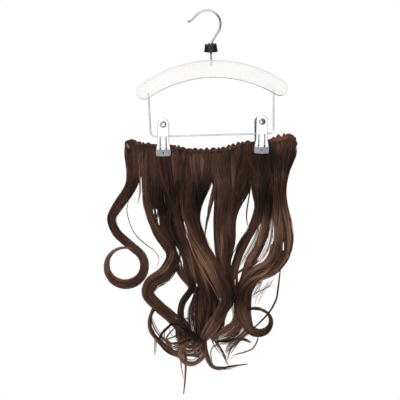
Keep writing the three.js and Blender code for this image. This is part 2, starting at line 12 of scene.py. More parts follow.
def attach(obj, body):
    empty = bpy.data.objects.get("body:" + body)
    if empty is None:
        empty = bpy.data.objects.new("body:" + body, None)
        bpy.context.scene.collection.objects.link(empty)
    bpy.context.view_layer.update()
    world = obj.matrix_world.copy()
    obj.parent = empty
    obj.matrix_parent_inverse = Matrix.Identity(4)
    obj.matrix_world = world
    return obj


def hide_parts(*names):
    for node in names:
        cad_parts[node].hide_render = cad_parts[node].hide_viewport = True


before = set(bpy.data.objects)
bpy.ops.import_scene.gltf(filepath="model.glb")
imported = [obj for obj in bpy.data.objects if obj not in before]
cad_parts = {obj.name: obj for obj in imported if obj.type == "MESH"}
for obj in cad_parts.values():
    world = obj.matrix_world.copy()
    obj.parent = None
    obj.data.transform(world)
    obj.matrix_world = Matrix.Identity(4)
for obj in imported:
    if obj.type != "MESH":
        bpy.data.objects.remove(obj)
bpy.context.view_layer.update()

# Sizes are in millimetres, the scene is in metres, and plans laid on faces are in tenths of a metre
MM = 0.001
PLAN_SCALE = 100
SEED = 11
BRIDGE_SEED = 31
STRAY_SEED = 32

# Camera and studio, in metres
CAMERA_AT = (-0.01235, -2.11, -0.3583)
CAMERA_LENS = 100
FLOOR_Z = -1.1
FLOOR_HALF = 1.8
LIGHT_AIM = Vector((0, 0, -0.42))
LIGHTS = {
    "key_light": {"at": (-0.9, -1.8, 0.8), "size": 0.8, "power": 24, "mirrored": True},
    "left_fill": {"at": (-1.9, -0.3, -0.3), "size": 1.4, "power": 16, "mirrored": False},
    "right_fill": {"at": (1.9, -0.3, -0.3), "size": 1.4, "power": 16, "mirrored": False},
    "back_fill": {"at": (0.5, 2.2, 0.4), "size": 1.4, "power": 22, "mirrored": False},
}

# Whole hanger
HANGER_TILT = math.radians(1.6)
HANGER = Matrix.Rotation(-HANGER_TILT, 4, "Y")
STEM_X = 6.3
WIRE_SIDES = 24

# Clear board
BOARD = Sizes(top=-92.7, height=33.6, upper=236, lower=222, end=15.1, thickness=6)
BOARD_BEVEL = Sizes(width=2.4, segments=5)
STEM_HOLE = Sizes(diameter=4.4, depth=10.3, over=5)
LEG_HOLE = Sizes(diameter=3.6, over=0.3)
# A painted warm reflection on the board's lower edge near its right end: its place, reach and the share of
# the reach where it is full
ACRYLIC_PAINTED_REFLECTION = Sizes(at=(126, -152), reach=24, full=0.6)

# Hook wire
HOOK = Sizes(wire=3.8, radius=26, arc_end=135, mouth=13, flare=13, flare_turn=32, bead=5.2, tip=0.3)
# A painted shade on one side of the hook's crown: its place, reach and the share of the reach where it is
# full
HOOK_PAINTED_SHADE = Sizes(at=(26, -18), reach=24, full=0.35)
NECK = Sizes(corner_z=-61.8, bend=9, foot_z=-102.7)

# Cap on the stem
CAP = Sizes(top_z=-61.8, height=15, top=21.5, foot=26.6, lip=2.4, bore=9, tip=16)
CAP_SLOT = Sizes(width=3, depth=2, x=-6.6)
CAP_SIDES = 64
CAP_BEVEL = 0.25

# Wire bail under the board
BAIL = Sizes(wire=3, x=4.3, half_top=119, half_foot=116.5, bar_z=-235.2, leg_z=-152, corner=9)

# Spring clips
CLIPS = {
    "left": {"along": -95, "lean": 0.4, "back_shift": 0, "back_lean": 0},
    "right": {"along": 92, "lean": -1.1, "back_shift": -2.2, "back_lean": -2},
}
PLATE = Sizes(half=11, jaw=13.2, top=34.5, waist=-8, flare=-26, foot=-34, thickness=1.4, tip=0.5)
PLATE_ROLL = Sizes(width=0.2, depth=0.7)
PLATE_LEAN = math.radians(5)
PLATE_PIVOT_Y = -6.7
PLATE_PLACE = Matrix.Translation((0, PLATE_PIVOT_Y, 0)) @ Matrix.Rotation(PLATE_LEAN, 4, "X")
EYELET = Sizes(z=22.5, hole=8, rim=12.8, height=0.9, overlap=0.15, root=0.8, sides=40)
# Painted shade on the eyelet ring, darker on one side
EYELET_SHADE = Sizes(level=1.2, swing=0.45, turn=0.4)
# Painted shade along the plate's edges and on its inner side
EDGE_SHADE = Sizes(reach=1.6, level=0.85)
FLUTE = Sizes(
    x=5.6, top=0, foot=-23.6, width=2.6, depth=0.75, hole=3.6,
    top_ease=(-1.5, 0.5), foot_ease=(-3, -1),
)
DRILL = Sizes(plate=9, pad=12)
PAD = Sizes(half=13.9, top=-26, foot=-37.4, point=0.9, corner=2.5, hole=3, bevel=0.45)
PAD_Y = Sizes(inner=-2.6, outer_top=-7.4, outer_foot=-5.8)
PAD_PLAY = 0.3
SPRING = Sizes(outer=12, wire=1.5, length=14, turns=8)

# Weft band: between gathers its top edge runs through (distance across, drop below WEFT_Z)
WEFT_Z = -250
WEFT_LINE = [
    (-157, 8), (-154, -1), (-150, -5.5), (-143, -7.5), (-135, -6), (-130, -1), (-126, 1), (-100, 2),
    (-68, 3), (-52, 8), (-30, 12), (5, 13), (30, 11), (50, 5), (71, -1), (106, -5),
    (132, -10), (149, -13), (157, -16), (165, -12), (170, -2), (173.5, 10),
]
BAND = Sizes(height=7, thickness=4.6, wall=0.9, crown=1.2, belly=0.2, round=0.9, step=0.8)
BAND_DROP = Sizes(belly=4.5, shoulder=2.4)
SCALLOP = Sizes(
    pitch=10.4, height=3.8, ripple=1.3, widths=(0.55, 1.45), points=(0.7, 1.8),
    rises=(0.5, 1.4), right_x=(118, 140), right_rise=0.4, right_count=8, right_width=1.6,
)
PINCH = Sizes(half=17, ease=8)
# A painted reddish highlight near the weft's right end: its distance across and reach
WEFT_HIGHLIGHT = Sizes(x=139, reach=30)
WEFT_END = Sizes(turn=5.5, back=16, plain=26)
STITCH = Sizes(length=2.1, thread=0.7, pitch=3.4, drop=2.4, proud=0.12, slant=math.radians(25))

# Hair: how a lock swells below the weft and how its strands lie
ROOT = Sizes(
    tuck=4, thickness=4, hold=18, swell=55, settle=34, inset=9, widen=0.32,
    widen_end=85, free=(2, 22), depth=0.3, flat=0.25,
)
FLATNESS = 0.5
THINNEST = 2
THICKEST = 15
WAVE_LENGTH = 175
CURL = Sizes(start=0.96, thinning=(0.3, 0.95))
STRAND = Sizes(radius=0.36, step=14, turn=0.19, frizz=2.6)
STRAND_FORM = Sizes(
    inmost=0.04, start=0.2, start_thin=0.8, end_thin=0.75, end_power=5, short_power=2.5, sizes=(0.75, 1.2),
)
STRAND_WAVER = Sizes(per_metre=16, shift=90, apart=0.37, amounts=(0.4, 1.6), root=0.12)
STRAND_TONE = 0.26
NUMBERS_PER_WISP = 211
WISP = Sizes(
    width=6, strands=20, shortest=0.72, depth=0.34, least=0.5, out=(0.7, 0.92),
    overlap=1.25, tone=0.2, thin=0.8, jitter=0.3, splay=(-0.3, 0.45), early=0.7,
    fray=0.76, curl_fray=0.86, fewest=4,
)
WANDER = Sizes(angle=(0.2, 0.6), length=(190, 340), run=(25, 130))
PHASES = (0, 6.3)
CORE = Sizes(
    share=0.68, sides=30, ridge=0.06, margin=0.6, apart=0.4, thin=0.97,
    before_fray=0.12, end=0.95,
)
HALF_CORE = Sizes(at=0.3, share=0.62, apart=0.05)

# Locks: rows of distance across, drop below WEFT_Z and width; depth and sway run from front to back
LOCKS = {
    "outer_left": {
        "depth": -2, "sway": 7, "phase": 0, "shortest": 0.95,
        "rows": [
            (-139, 10, 33), (-138, 54, 30), (-145, 84, 21), (-168, 119, 20),
            (-180, 143, 17), (-171, 170, 16), (-149, 191, 16), (-131, 206, 16),
        ],
        "curl": {"way": 1, "radius": 35, "turns": 0.98, "advance": -20, "swell": 1.2, "tip": 4},
    },
    "left_main": {
        "depth": -4, "sway": 6, "phase": 1, "shortest": 0.88, "halves": (-1, 1),
        "rows": [
            (-107, 17, 36), (-106, 70, 38), (-101, 122, 38), (-87, 165, 36),
            (-63, 211, 29), (-78, 246, 30), (-105, 267, 28), (-111, 286, 22),
            (-92, 310, 21), (-68, 331, 22), (-47, 353, 22),
        ],
        "curl": {"way": 1, "radius": 21, "turns": 0.85, "advance": -14, "swell": 1, "tip": 6},
    },
    "left_inner": {
        "depth": 3, "sway": 6, "phase": 2.4, "fray": 0.86,
        "rows": [
            (-71, 20, 42), (-68, 70, 44), (-64, 123, 38), (-54, 169, 34),
            (-38, 216, 27), (-32, 250, 28), (-25, 275, 17), (-45, 304, 12),
            (-48, 331, 14), (-39, 357, 24), (-31, 382, 20), (-14, 398, 10),
        ],
    },
    "centre_front": {
        "depth": -9, "sway": 6, "phase": 0.5, "fray": 0.84,
        "rows": [
            (-31, 25, 34), (-33, 70, 34), (-32, 118, 32), (-24, 158, 30),
            (-8, 201, 28), (13, 239, 27), (31, 272, 27), (38, 296, 23),
            (28, 325, 23), (9, 350, 22), (-4, 370, 16), (-2, 394, 10),
            (12, 422, 9), (42, 424, 7), (71, 418, 3),
        ],
    },
    "centre_deep": {
        "depth": 9, "sway": 5, "phase": 3, "shortest": 0.85,
        "rows": [
            (2, 27, 32), (-1, 56, 34), (-12, 89, 30), (-21, 122, 22),
            (-24, 156, 20), (-24, 194, 24), (-17, 232, 34), (-8, 266, 42),
            (-2, 298, 56), (-5, 331, 54), (-8, 359, 34),
        ],
        "curl": {"way": 1, "radius": 23, "turns": 0.8, "advance": -12, "swell": 0.55, "tip": 4},
    },
    "centre_right": {
        "depth": 1, "sway": 5, "phase": 4, "fray": 0.86,
        "rows": [
            (27, 26, 40), (30, 61, 42), (33, 108, 38), (29, 156, 32),
            (31, 198, 30), (35, 234, 25), (41, 268, 18), (39, 302, 18),
            (28, 332, 21), (15, 361, 18), (20, 386, 9), (33, 403, 6), (43, 421, 3),
        ],
    },
    "centre_swing": {
        "depth": 6, "sway": 4, "phase": 5,
        "rows": [
            (67, 18, 36), (67, 51, 36), (66, 85, 34), (52, 118, 24),
            (45, 147, 21), (46, 184, 18), (43, 218, 13), (41, 251, 11),
            (42, 283, 11), (35, 312, 9), (29, 346, 9), (18, 374, 7),
        ],
    },
    "right_swing": {
        "depth": -1, "sway": 5, "phase": 1.5, "fray": 0.88,
        "rows": [
            (97, 9, 32), (96, 51, 33), (98, 89, 27), (100, 123, 20),
            (87, 165, 20), (66, 198, 20), (55, 226, 17), (51, 258, 15),
            (56, 291, 15), (66, 321, 15), (67, 348, 17), (55, 367, 17),
            (34, 378, 13), (14, 384, 5),
        ],
    },
    "right_mid": {
        "depth": 6, "sway": 5, "phase": 2.8,
        "rows": [
            (121, 6, 23), (120, 51, 23), (118, 99, 23), (115, 137, 21),
            (110, 169, 18), (96, 203, 17), (84, 222, 20), (75, 244, 15),
            (66, 279, 17), (69, 311, 17), (78, 340, 15), (83, 363, 16), (78, 381, 12),
        ],
    },
    "right_main": {
        "depth": -7, "sway": 6, "phase": 3.6, "shortest": 0.88, "halves": (-1, 1),
        "rows": [
            (144, 3, 38), (140, 48, 30), (137, 86, 29), (138, 118, 31),
            (141, 150, 39), (143, 183, 40), (137, 213, 40), (121, 235, 36),
            (95, 249, 33), (74, 271, 34), (68, 298, 38), (70, 328, 34), (78, 346, 22),
        ],
        "curl": {"way": -1, "radius": 22.5, "turns": 0.78, "advance": -12, "swell": 0.55, "tip": 3},
    },
    "right_edge": {
        "depth": 5, "sway": 4, "phase": 4.6,
        "rows": [
            (160, 0, 22), (160, 20, 19), (151, 51, 15), (145, 85, 15),
            (147, 120, 15), (155, 154, 15), (159, 186, 12), (152, 218, 11),
            (136, 238, 11), (116, 248, 8),
        ],
    },
    "lower_arc": {
        "depth": -6, "sway": 3, "phase": 0, "loose": True, "tint": 0.1,
        "rows": [
            (-93, 306, 5), (-105, 326, 4), (-106, 351, 4), (-94, 372, 6),
            (-73, 390, 9), (-50, 402, 11), (-28, 409, 11), (-10, 403, 8), (-4, 387, 6),
        ],
    },
    "long_tip": {
        "depth": -6, "sway": 2, "phase": 2, "loose": True, "tint": 0.6, "shortest": 0.97,
        "rows": [(-40, 396, 4.5), (-39, 418, 3.2), (-41, 450, 1.8), (-45, 489, 0.7)],
    },
}
HAIR_PIECES = {
    "hair_left": ["outer_left", "left_main"],
    "hair_inner_left": ["left_inner", "centre_front"],
    "hair_centre": ["centre_deep", "centre_right"],
    "hair_inner_right": ["centre_swing", "right_swing", "right_mid"],
    "hair_right": ["right_main", "right_edge"],
    "hair_ends": ["lower_arc", "long_tip"],
}

# Wisps that pass from one lock into its neighbour, between two distances from the root
BRIDGES = [
    ("left_main", "left_inner", 10, 170), ("left_inner", "left_main", 50, 185),
    ("left_inner", "centre_front", 10, 140), ("centre_front", "left_inner", 5, 130),
    ("centre_front", "centre_deep", 10, 130), ("centre_right", "centre_swing", 30, 170),
    ("centre_swing", "centre_right", 10, 130), ("centre_swing", "right_swing", 5, 100),
    ("right_swing", "right_mid", 10, 130), ("right_mid", "right_main", 10, 120),
    ("right_main", "right_mid", 10, 130), ("right_main", "right_edge", 20, 170),
    ("right_edge", "right_main", 20, 160),
]
BRIDGE = Sizes(
    wisps=3, length=0.9, angle=(0.15, 0.85), faces=(1, 1, -1), out=0.9, width=0.3,
    rise=1.5, fray=0.6, shortest=0.6,
)

# Painted highlights and painted shade on the hair: places where its colour is made lighter or darker, with
# distance across, drop, reach and how much
LIGHT_AND_SHADE_PATCHES = [
    (-136, 37, 26, 0.4), (-8, 42, 28, 0.1), (36, 78, 30, 0.22), (141, 160, 38, 0.65),
    (104, 235, 34, 0.7), (-3, 230, 40, 0.55), (-160, 130, 40, 0.25), (-150, 230, 50, 0.5),
    (70, 330, 36, 0.3), (-98, 104, 34, -0.38), (-27, 92, 26, -0.8), (111, 37, 26, -0.5),
    (111, 104, 28, -0.5), (-31, 350, 28, -0.5), (-30, 285, 20, -0.3), (-62, 190, 26, -0.25),
    (160, 40, 22, -0.25), (-62, 372, 30, -0.3), (112, 342, 28, -0.6), (139, 6, 15, 0.35),
    (2, 292, 30, -0.35), (36, 306, 20, -0.25), (-22, 120, 22, -0.3), (-30, 255, 20, -0.2),
    (33, 152, 30, 0.25), (-66, 112, 26, -0.2), (-66, 226, 22, -0.35), (150, 25, 22, -0.4),
    (-60, 386, 30, 0.3), (-28, 404, 22, 0.3), (64, 290, 28, -0.75),
]

# Partings: slits in the hair from one place (distance across, drop) to another, and half their width
PARTINGS = [
    ((-60, 193), (-42, 233), 1.5), ((-96, 115), (-89, 161), 1.3), ((-101.5, 118), (-98, 146), 0.5),
    ((144.5, 180), (146, 210), 0.7), ((29, 60), (24, 96), 1.6), ((-23, 281), (-40, 316), 1.8),
    ((-40.5, 308), (-40.5, 339), 1.7), ((44, 313), (43, 344), 5.0), ((40, 240), (37, 260), 0.9),
    ((57, 196), (44, 236), 1.4), ((98, 160), (64, 232), 2.2), ((-40, 407), (-19, 407), 3.0),
    ((-39, 390), (-27, 380), 2.2), ((-73, 374), (-54, 373), 1.4), ((-69, 382), (-54, 385), 1.2),
    ((-69, 390), (-53, 392), 1.4), ((-72, 351), (-60, 368), 3.5), ((-42, 144), (-37, 182), 0.8),
    ((-24, 260), (-14, 278), 1.3), ((125, 137), (128, 190), 1.3), ((68, 243), (50, 270), 2.4),
    ((53, 343), (62, 360), 2.6),
]
PARTING = Sizes(reach=9, steady=0.5, crossing=3.5)

# How a thin wisp outside the locks lies
STRAY = Sizes(
    stations=5, settled=0.4, sway=2.5, waves=5, rise=0.7, end=0.35, lead=0.15, arch=0.8,
    first_run=0.5, tone=0.15, shortest=0.75,
)

# Thin wisps that leave the locks: depth at start and end, width, strands, tint, points (across, drop)
STRAYS = {
    "between": (4, -4, 6, 34, 0.1, [(21, 52), (15, 89), (7, 122), (0, 154), (-3, 178)]),
    "between_root": (4, -2, 9, 50, -0.1, [(24, 46), (18, 74), (12, 100), (6, 124), (2, 146)]),
    "left_long": (2, -6, 1.2, 9, -0.2, [
        (-147, 104), (-151, 127), (-149, 139), (-142, 161), (-128, 181), (-110, 196), (-100, 203),
        (-92, 214), (-90, 221), (-93, 232), (-98, 241),
    ]),
    "left_short": (2, -6, 3, 14, 0.35, [(-128, 40), (-126, 70), (-126, 96), (-131, 118)]),
    "right_long": (0, -8, 3.2, 22, 0.05, [
        (141, 230), (138, 256), (135, 280), (132, 296), (118, 322), (92, 349), (64, 374), (45, 400),
    ]),
    "right_hook": (-4, -12, 3, 14, 0.35, [
        (99, 366), (95, 378), (87, 389), (70, 396), (54, 400), (44, 410),
    ]),
    "right_split": (-1, -9, 5, 20, 0.35, [(72, 362), (58, 378), (45, 392), (39, 412)]),
    "gap_hair": (4, 0, 2.4, 20, -0.15, [(84, 80), (81, 102), (77, 126), (76, 142), (79, 160)]),
    "right_fan": (2, -4, 12, 60, 0.2, [
        (133, 150), (128, 188), (119, 218), (104, 234), (82, 247), (68, 262),
    ]),
    "left_cross": (2, 2, 14, 80, -0.1, [
        (-74, 172), (-64, 206), (-57, 232), (-46, 252), (-34, 268), (-28, 282),
    ]),
    "centre_gap": (4, 2, 14, 60, -0.1, [(2, 236), (10, 262), (18, 286), (20, 310), (14, 334)]),
    "centre_light": (-6, -8, 4, 14, 0.8, [(29, 158), (29, 180), (30, 204), (28, 226)]),
    "gap_low": (-2, -6, 12, 55, 0.1, [(55, 316), (51, 338), (38, 352), (22, 362), (2, 372)]),
    "gap_left": (2, -2, 16, 70, 0, [(20, 300), (25, 322), (27, 342), (23, 358), (12, 374)]),
    "left_tips": (0, -8, 5, 14, 0.35, [(-102, 352), (-97, 372), (-97, 388), (-99, 403)]),
    "right_sheet": (2, -6, 24, 90, 0.35, [
        (88, 256), (70, 278), (60, 305), (56, 330), (50, 354), (40, 370),
    ]),
    "centre_sheet": (0, -8, 20, 70, 0.35, [(18, 300), (22, 322), (16, 344), (4, 362), (-8, 376)]),
    "sweep_edge": (-4, -12, 7, 26, 0.35, [
        (142, 196), (130, 226), (108, 246), (84, 258), (66, 278), (58, 300),
    ]),
    "right_inner": (4, 4, 9, 30, 0.35, [
        (112, 110), (110, 140), (106, 168), (98, 196), (84, 226), (70, 250),
    ]),
    "left_twist": (-2, -10, 10, 40, 0.35, [
        (-66, 196), (-66, 216), (-80, 240), (-98, 254), (-110, 272), (-106, 292), (-92, 308),
    ]),
    "root_left": (-1, -3, 9, 36, -0.1, [(-124, 4), (-124, 22), (-125, 42), (-126, 56)]),
    "root_centre": (-1, -4, 9, 36, -0.2, [(-50, 10), (-50, 34), (-50, 66), (-49, 96)]),
    "root_right": (-1, -4, 10, 40, -0.1, [(49, 12), (50, 34), (51, 60), (50, 86)]),
    "right_strap": (0, -6, 5, 30, -0.3, [
        (100, 222), (88, 232), (75, 236), (62, 245), (53, 256), (48, 270),
    ]),
    "ring_top": (-6, -14, 7, 32, 0.1, [
        (50, 332), (62, 321), (76, 316), (90, 312.5), (104, 315), (115, 321.5), (121, 331), (122.5, 342),
    ]),
}

# Fine strands that cross the gaps between the locks, in the same kind of rows
FLYAWAYS = {
    # A light strand as a painted highlight along the front lock's left edge
    "painted_highlight_edge": (-12, -16, 1.2, 9, 1.3, [
        (-41, 147), (-39.4, 164), (-32, 190), (-22, 216), (-7, 244), (11, 272), (24, 298),
    ]),
    "right_fine": (-2, -8, 5, 3, 0.8, [(118, 260), (113, 274), (104, 290), (97, 308)]),
    "right_fall": (-2, -10, 14, 10, 0.2, [(106, 260), (99, 268), (92, 280), (86, 295)]),
    "right_arch": (2, -6, 1.6, 4, -0.2, [(80, 294), (95, 284), (112, 276), (130, 267)]),
    "right_gap": (4, 2, 10, 14, 0.5, [(101, 152), (92, 180), (82, 200), (70, 222), (62, 236)]),
    "right_fuzz": (4, 0, 9, 16, 0.5, [(124, 146), (122, 176), (116, 198), (106, 216), (94, 232)]),
    "right_thread": (2, -4, 1.8, 9, 0.1, [(125, 130), (124.5, 150), (122, 178), (115, 208)]),
    "end_roll": (-8, -6, 6, 44, -0.35, [(-149.5, -3), (-151.4, 6), (-152.2, 20), (-151, 34), (-148.5, 50)]),
    # Dark strands on both sides of the rolled end: painted shade that sets it off from the hair behind
    "roll_rim_painted_shade": (-6, -4, 2, 14, -0.9, [
        (-151, -4), (-153.4, 6), (-154.4, 20), (-153, 34), (-149.5, 50),
    ]),
    "roll_seam_painted_shade": (-11, -10, 1.8, 14, -0.9, [
        (-147.4, 6), (-148.2, 14), (-148.8, 24), (-148.2, 36), (-146.8, 48),
    ]),
    "end_fold": (-13, -13, 4.5, 26, 2.6, [(-151, 1), (-149.2, 5), (-147.4, 9), (-145.6, 12)]),
    "right_fall_inner": (-4, -10, 9, 8, 0.1, [(98, 258), (92, 268), (87, 279), (83, 291)]),
    "right_fine_loop": (2, -6, 6, 4, 0.8, [(128, 256), (118, 270), (105, 279), (95, 292), (91, 308)]),
}

# The small loops at the lower ends, in the same kind of rows
TANGLE = {
    "left_outer": (-2, -10, 3.5, 16, 0.1, [
        (-98, 304), (-105, 320), (-110, 338), (-107, 356), (-95, 372), (-78, 386), (-58, 400),
    ]),
    "left_second": (-2, -10, 3, 12, 0.1, [
        (-100, 306), (-105, 324), (-100, 347), (-90, 363), (-76, 375), (-62, 384),
    ]),
    "left_third": (-1, -9, 2, 8, 0.3, [(-104, 330), (-95, 351), (-84, 366), (-74, 380), (-60, 394)]),
    "loop": (-4, -12, 5, 26, 0, [
        (-44, 346), (-66, 344), (-76, 351), (-85, 361), (-89, 373), (-83, 387), (-69, 399), (-52, 405),
    ]),
    "loop_inner": (-5, -13, 3, 12, 0.1, [
        (-58, 348), (-70, 360), (-76, 370), (-74, 382), (-62, 392), (-46, 398),
    ]),
    "small": (-4, -14, 3.5, 14, 0, [
        (-38, 352), (-60, 366), (-74, 371), (-70, 378), (-52, 376), (-30, 366),
    ]),
    "cross": (-4, -12, 4, 18, 0, [(-84, 374), (-66, 379), (-48, 384), (-30, 386), (-14, 378)]),
    "low_cross": (-4, -12, 4, 18, 0.1, [(-86, 380), (-70, 387), (-54, 394), (-38, 396), (-20, 390)]),
    "bar": (-5, -14, 6, 24, 0, [(-86, 368), (-60, 384), (-40, 392), (-20, 390), (-6, 378)]),
    "ring": (-6, -14, 8, 50, 0.05, [
        (-14, 366), (-5, 384), (-4, 399), (-12, 411), (-28, 418), (-43, 413), (-50, 402), (-47, 389),
        (-38, 380), (-24, 376),
    ]),
    "fill": (-4, -11, 14, 70, -0.05, [
        (-42, 352), (-22, 366), (-11, 382), (-14, 397), (-28, 403), (-44, 399),
    ]),
    "heart": (-4, -10, 12, 60, -0.1, [
        (-36, 356), (-24, 374), (-22, 388), (-30, 396), (-44, 392), (-54, 380),
    ]),
    "eye": (-6, -15, 4, 16, 0.1, [(-46, 390), (-36, 402), (-22, 400), (-14, 406), (-22, 414), (-36, 412)]),
    "foot": (-4, -12, 5, 26, 0.05, [
        (-70, 388), (-54, 404), (-40, 412), (-26, 416), (-12, 408), (-5, 392), (-8, 378),
    ]),
    "tip_second": (-6, -9, 1.6, 8, 0.4, [(-54, 396), (-50, 410), (-47, 428), (-44, 447)]),
    "inner_edge": (3, -3, 15, 66, 0.3, [
        (-16, 282), (-27.5, 306), (-31.5, 328), (-29, 350), (-23, 370), (-16, 388),
    ]),
    "bottom_loop": (-8, -12, 5, 40, 0.1, [
        (-4, 362), (-1, 386), (2, 404), (8, 418), (20, 427), (45, 422), (78, 418),
    ]),
    "bottom_inner": (-6, -10, 2, 10, 0.2, [
        (10, 414), (8, 396), (12, 386), (22, 381), (34, 380), (48, 378),
    ]),
    "bottom_cross": (-4, -10, 4.5, 26, 0.1, [(-2, 356), (14, 372), (29, 393), (36, 410), (42, 423)]),
    "right_low": (-2, -8, 24, 100, 0.1, [(68, 312), (63, 338), (50, 355), (32, 365), (12, 371)]),
    "right_cross": (-8, -12, 12, 50, 0.15, [(84, 349), (77, 357), (62, 370), (42, 386), (36, 397)]),
    "right_dark": (-6, -11, 7, 34, -0.1, [(18, 376), (38, 375), (56, 371), (72, 372), (85, 378)]),
}


# Node trees

class Field:
    """An output socket of a node. Arithmetic on it adds Math nodes."""

    def __init__(self, graph, socket):
        self.graph = graph
        self.socket = socket

    def other(self, key):
        """Another output of the same node."""
        return Field(self.graph, self.socket.node.outputs[key])

    def maths(self, operation, *values):
        return self.graph.maths(operation, self, *values)

    def scaled(self, factor):
        return self.graph.node("ShaderNodeVectorMath", {"operation": "SCALE"}, {0: self, "Scale": factor})

    def moved(self, vector):
        return self.graph.node("ShaderNodeVectorMath", {"operation": "ADD"}, {0: self, 1: vector})

    def __add__(self, value):
        return self.maths("ADD", value)

    __radd__ = __add__

    def __mul__(self, value):
        return self.maths("MULTIPLY", value)

    __rmul__ = __mul__

    def __sub__(self, value):
        return self.maths("SUBTRACT", value)

    def __rsub__(self, value):
        return self.graph.maths("SUBTRACT", value, self)

    def __pow__(self, value):
        return self.maths("POWER", value)


class Graph:
    """A shader or geometry tree."""

    def __init__(self, tree):
        self.tree = tree

    def node(self, kind, settings=None, inputs=None, output=0):
        made = self.tree.nodes.new(kind)
        for name, value in (settings or {}).items():
            setattr(made, name, value)
        for key, value in (inputs or {}).items():
            if isinstance(value, Field):
                self.tree.links.new(value.socket, made.inputs[key])
            else:
                made.inputs[key].default_value = value
        return Field(self, made.outputs[output]) if made.outputs else None

    def maths(self, operation, *values):
        return self.node("ShaderNodeMath", {"operation": operation}, dict(enumerate(values)))

    def between(self, value, low, high, start=0.0, end=1.0):
        """value's smooth way from low to high, as a number from start to end."""
        settings = {"interpolation_type": "SMOOTHSTEP"}
        inputs = {0: value, 1: low, 2: high, 3: start, 4: end}
        return self.node("ShaderNodeMapRange", settings, inputs)

    def blend(self, factor, first, second):
        inputs = {0: factor, 6: first, 7: second}
        return self.node("ShaderNodeMix", {"data_type": "RGBA"}, inputs, output=2)

    def noise(self, vector, scale, detail=2.0, roughness=0.5, output=0):
        inputs = {"Vector": vector, "Scale": scale, "Detail": detail, "Roughness": roughness}
        return self.node("ShaderNodeTexNoise", None, inputs, output)

    def stretched(self, vector, scale):
        return self.node("ShaderNodeMapping", None, {"Vector": vector, "Scale": scale})

    def attribute(self, name):
        return self.node("ShaderNodeAttribute", {"attribute_name": name}, output="Fac")

    def place(self):
        return self.node("ShaderNodeTexCoord", output="Object")

    def parts(self, vector):
        return self.node("ShaderNodeSeparateXYZ", None, {0: vector})

    def near(self, spot):
        """1 close to a spot in x and z, falling to 0 at its reach."""
        x, z = spot.at
        offset = self.place().moved((-x * MM, 0, -z * MM))
        away = self.node("ShaderNodeVectorMath", {"operation": "LENGTH"}, {0: offset}, output="Value")
        return 1 - self.between(away, spot.full * spot.reach * MM, spot.reach * MM)

    def smears(self):
        """Faint handling marks on polished metal."""
        return self.noise(self.place(), 45.0, 4.0, 0.6)

    def bump(self, height, distance, strength):
        inputs = {"Height": height, "Distance": distance, "Strength": strength}
        return self.node("ShaderNodeBump", None, inputs)

    def named(self, name, kind="FLOAT"):
        return self.node("GeometryNodeInputNamedAttribute", {"data_type": kind}, {"Name": name})

    def stored(self, shape, name, kind, value):
        settings = {"data_type": kind, "domain": "POINT"}
        inputs = {"Geometry": shape, "Name": name, "Value": value}
        return self.node("GeometryNodeStoreNamedAttribute", settings, inputs)


def srgb(red, green, blue):
    """A screen colour of 0 to 255 as linear light."""
    shares = [value / 255 for value in (red, green, blue)]
    linear = [s / 12.92 if s <= 0.04045 else ((s + 0.055) / 1.055) ** 2.4 for s in shares]
    return (*linear, 1.0)


# Materials

def new_material(name, look, *values):
    """A material whose look is a function that gives the shader's sockets."""
    made = bpy.data.materials.new(name)
    made.use_nodes = True
    made.node_tree.nodes.clear()
    graph = Graph(made.node_tree)
    shader = graph.node("ShaderNodeBsdfPrincipled", None, look(graph, *values))
    graph.node("ShaderNodeOutputMaterial", None, {"Surface": shader})
    return made


HAIR_DARK = srgb(31, 19, 12)
HAIR_MID = srgb(87, 60, 46)
HAIR_LIGHT = srgb(149, 111, 90)


def hair_look(graph):
    """Brown that varies from strand to strand and lightens towards the ends, with painted highlights and
    shade carried in its tint.
    """
    streak = graph.noise(graph.place(), 60.0, 3.0) - 0.5
    faded = graph.between(graph.attribute("run"), 0.4, 0.95, 0.0, 0.42)
    level = graph.attribute("tint") * 0.9 + streak * 0.5 + faded
    low = graph.blend(graph.between(level, -0.35, 0.35), HAIR_DARK, HAIR_MID)
    gloss = graph.noise(graph.place(), 140.0, 2.0)
    return {
        "Base Color": graph.blend(graph.between(level, 0.25, 1.0), low, HAIR_LIGHT),
        "Roughness": 0.36 + gloss * 0.2,
        "Specular IOR Level": 0.18,
    }


def core_look(graph):
    """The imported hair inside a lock: dark, with fine streaks that run down the lock."""
    along = graph.node("ShaderNodeUVMap", {"uv_map": "lock"})
    streaks = graph.noise(graph.stretched(along, (90.0, 6.0, 1.0)), 1.0, 4.0, 0.6)
    fine = graph.noise(graph.stretched(along, (260.0, 9.0, 1.0)), 1.0, 2.0)
    return {
        "Base Color": graph.blend(graph.between(streaks, 0.3, 0.75), HAIR_DARK, HAIR_MID),
        "Roughness": 0.42 + fine * 0.2,
        "Specular IOR Level": 0.1,
        "Normal": graph.bump(streaks + fine * 0.5, 1.5 * MM, 0.9),
    }


def weft_look(graph):
    """Brown tape, woven across and mottled, with a painted reddish highlight near its right end."""
    place = graph.place()
    weave = graph.node("ShaderNodeTexWave", {"bands_direction": "DIAGONAL"}, {
        "Vector": place, "Scale": 620.0, "Distortion": 2.5, "Detail": 2.0,
    }, output="Fac")
    patches = graph.noise(place, 90.0, 3.0)
    # Painted highlight: lighter and redder near the weft's right end
    aside = (graph.parts(place) - WEFT_HIGHLIGHT.x * MM).maths("ABSOLUTE")
    red = 1 - graph.between(aside, 0.0, WEFT_HIGHLIGHT.reach * MM)
    level = graph.between(patches + weave * 0.12, 0.4, 1.05)
    brown = graph.blend(level, srgb(36, 23, 17), srgb(92, 64, 52))
    return {
        "Base Color": graph.blend(red * 0.75, brown, srgb(112, 70, 56)),
        "Roughness": 0.6 + patches * 0.2,
        "Specular IOR Level": 0.15,
        "Normal": graph.bump(weave + patches, 0.3 * MM, 0.4),
    }


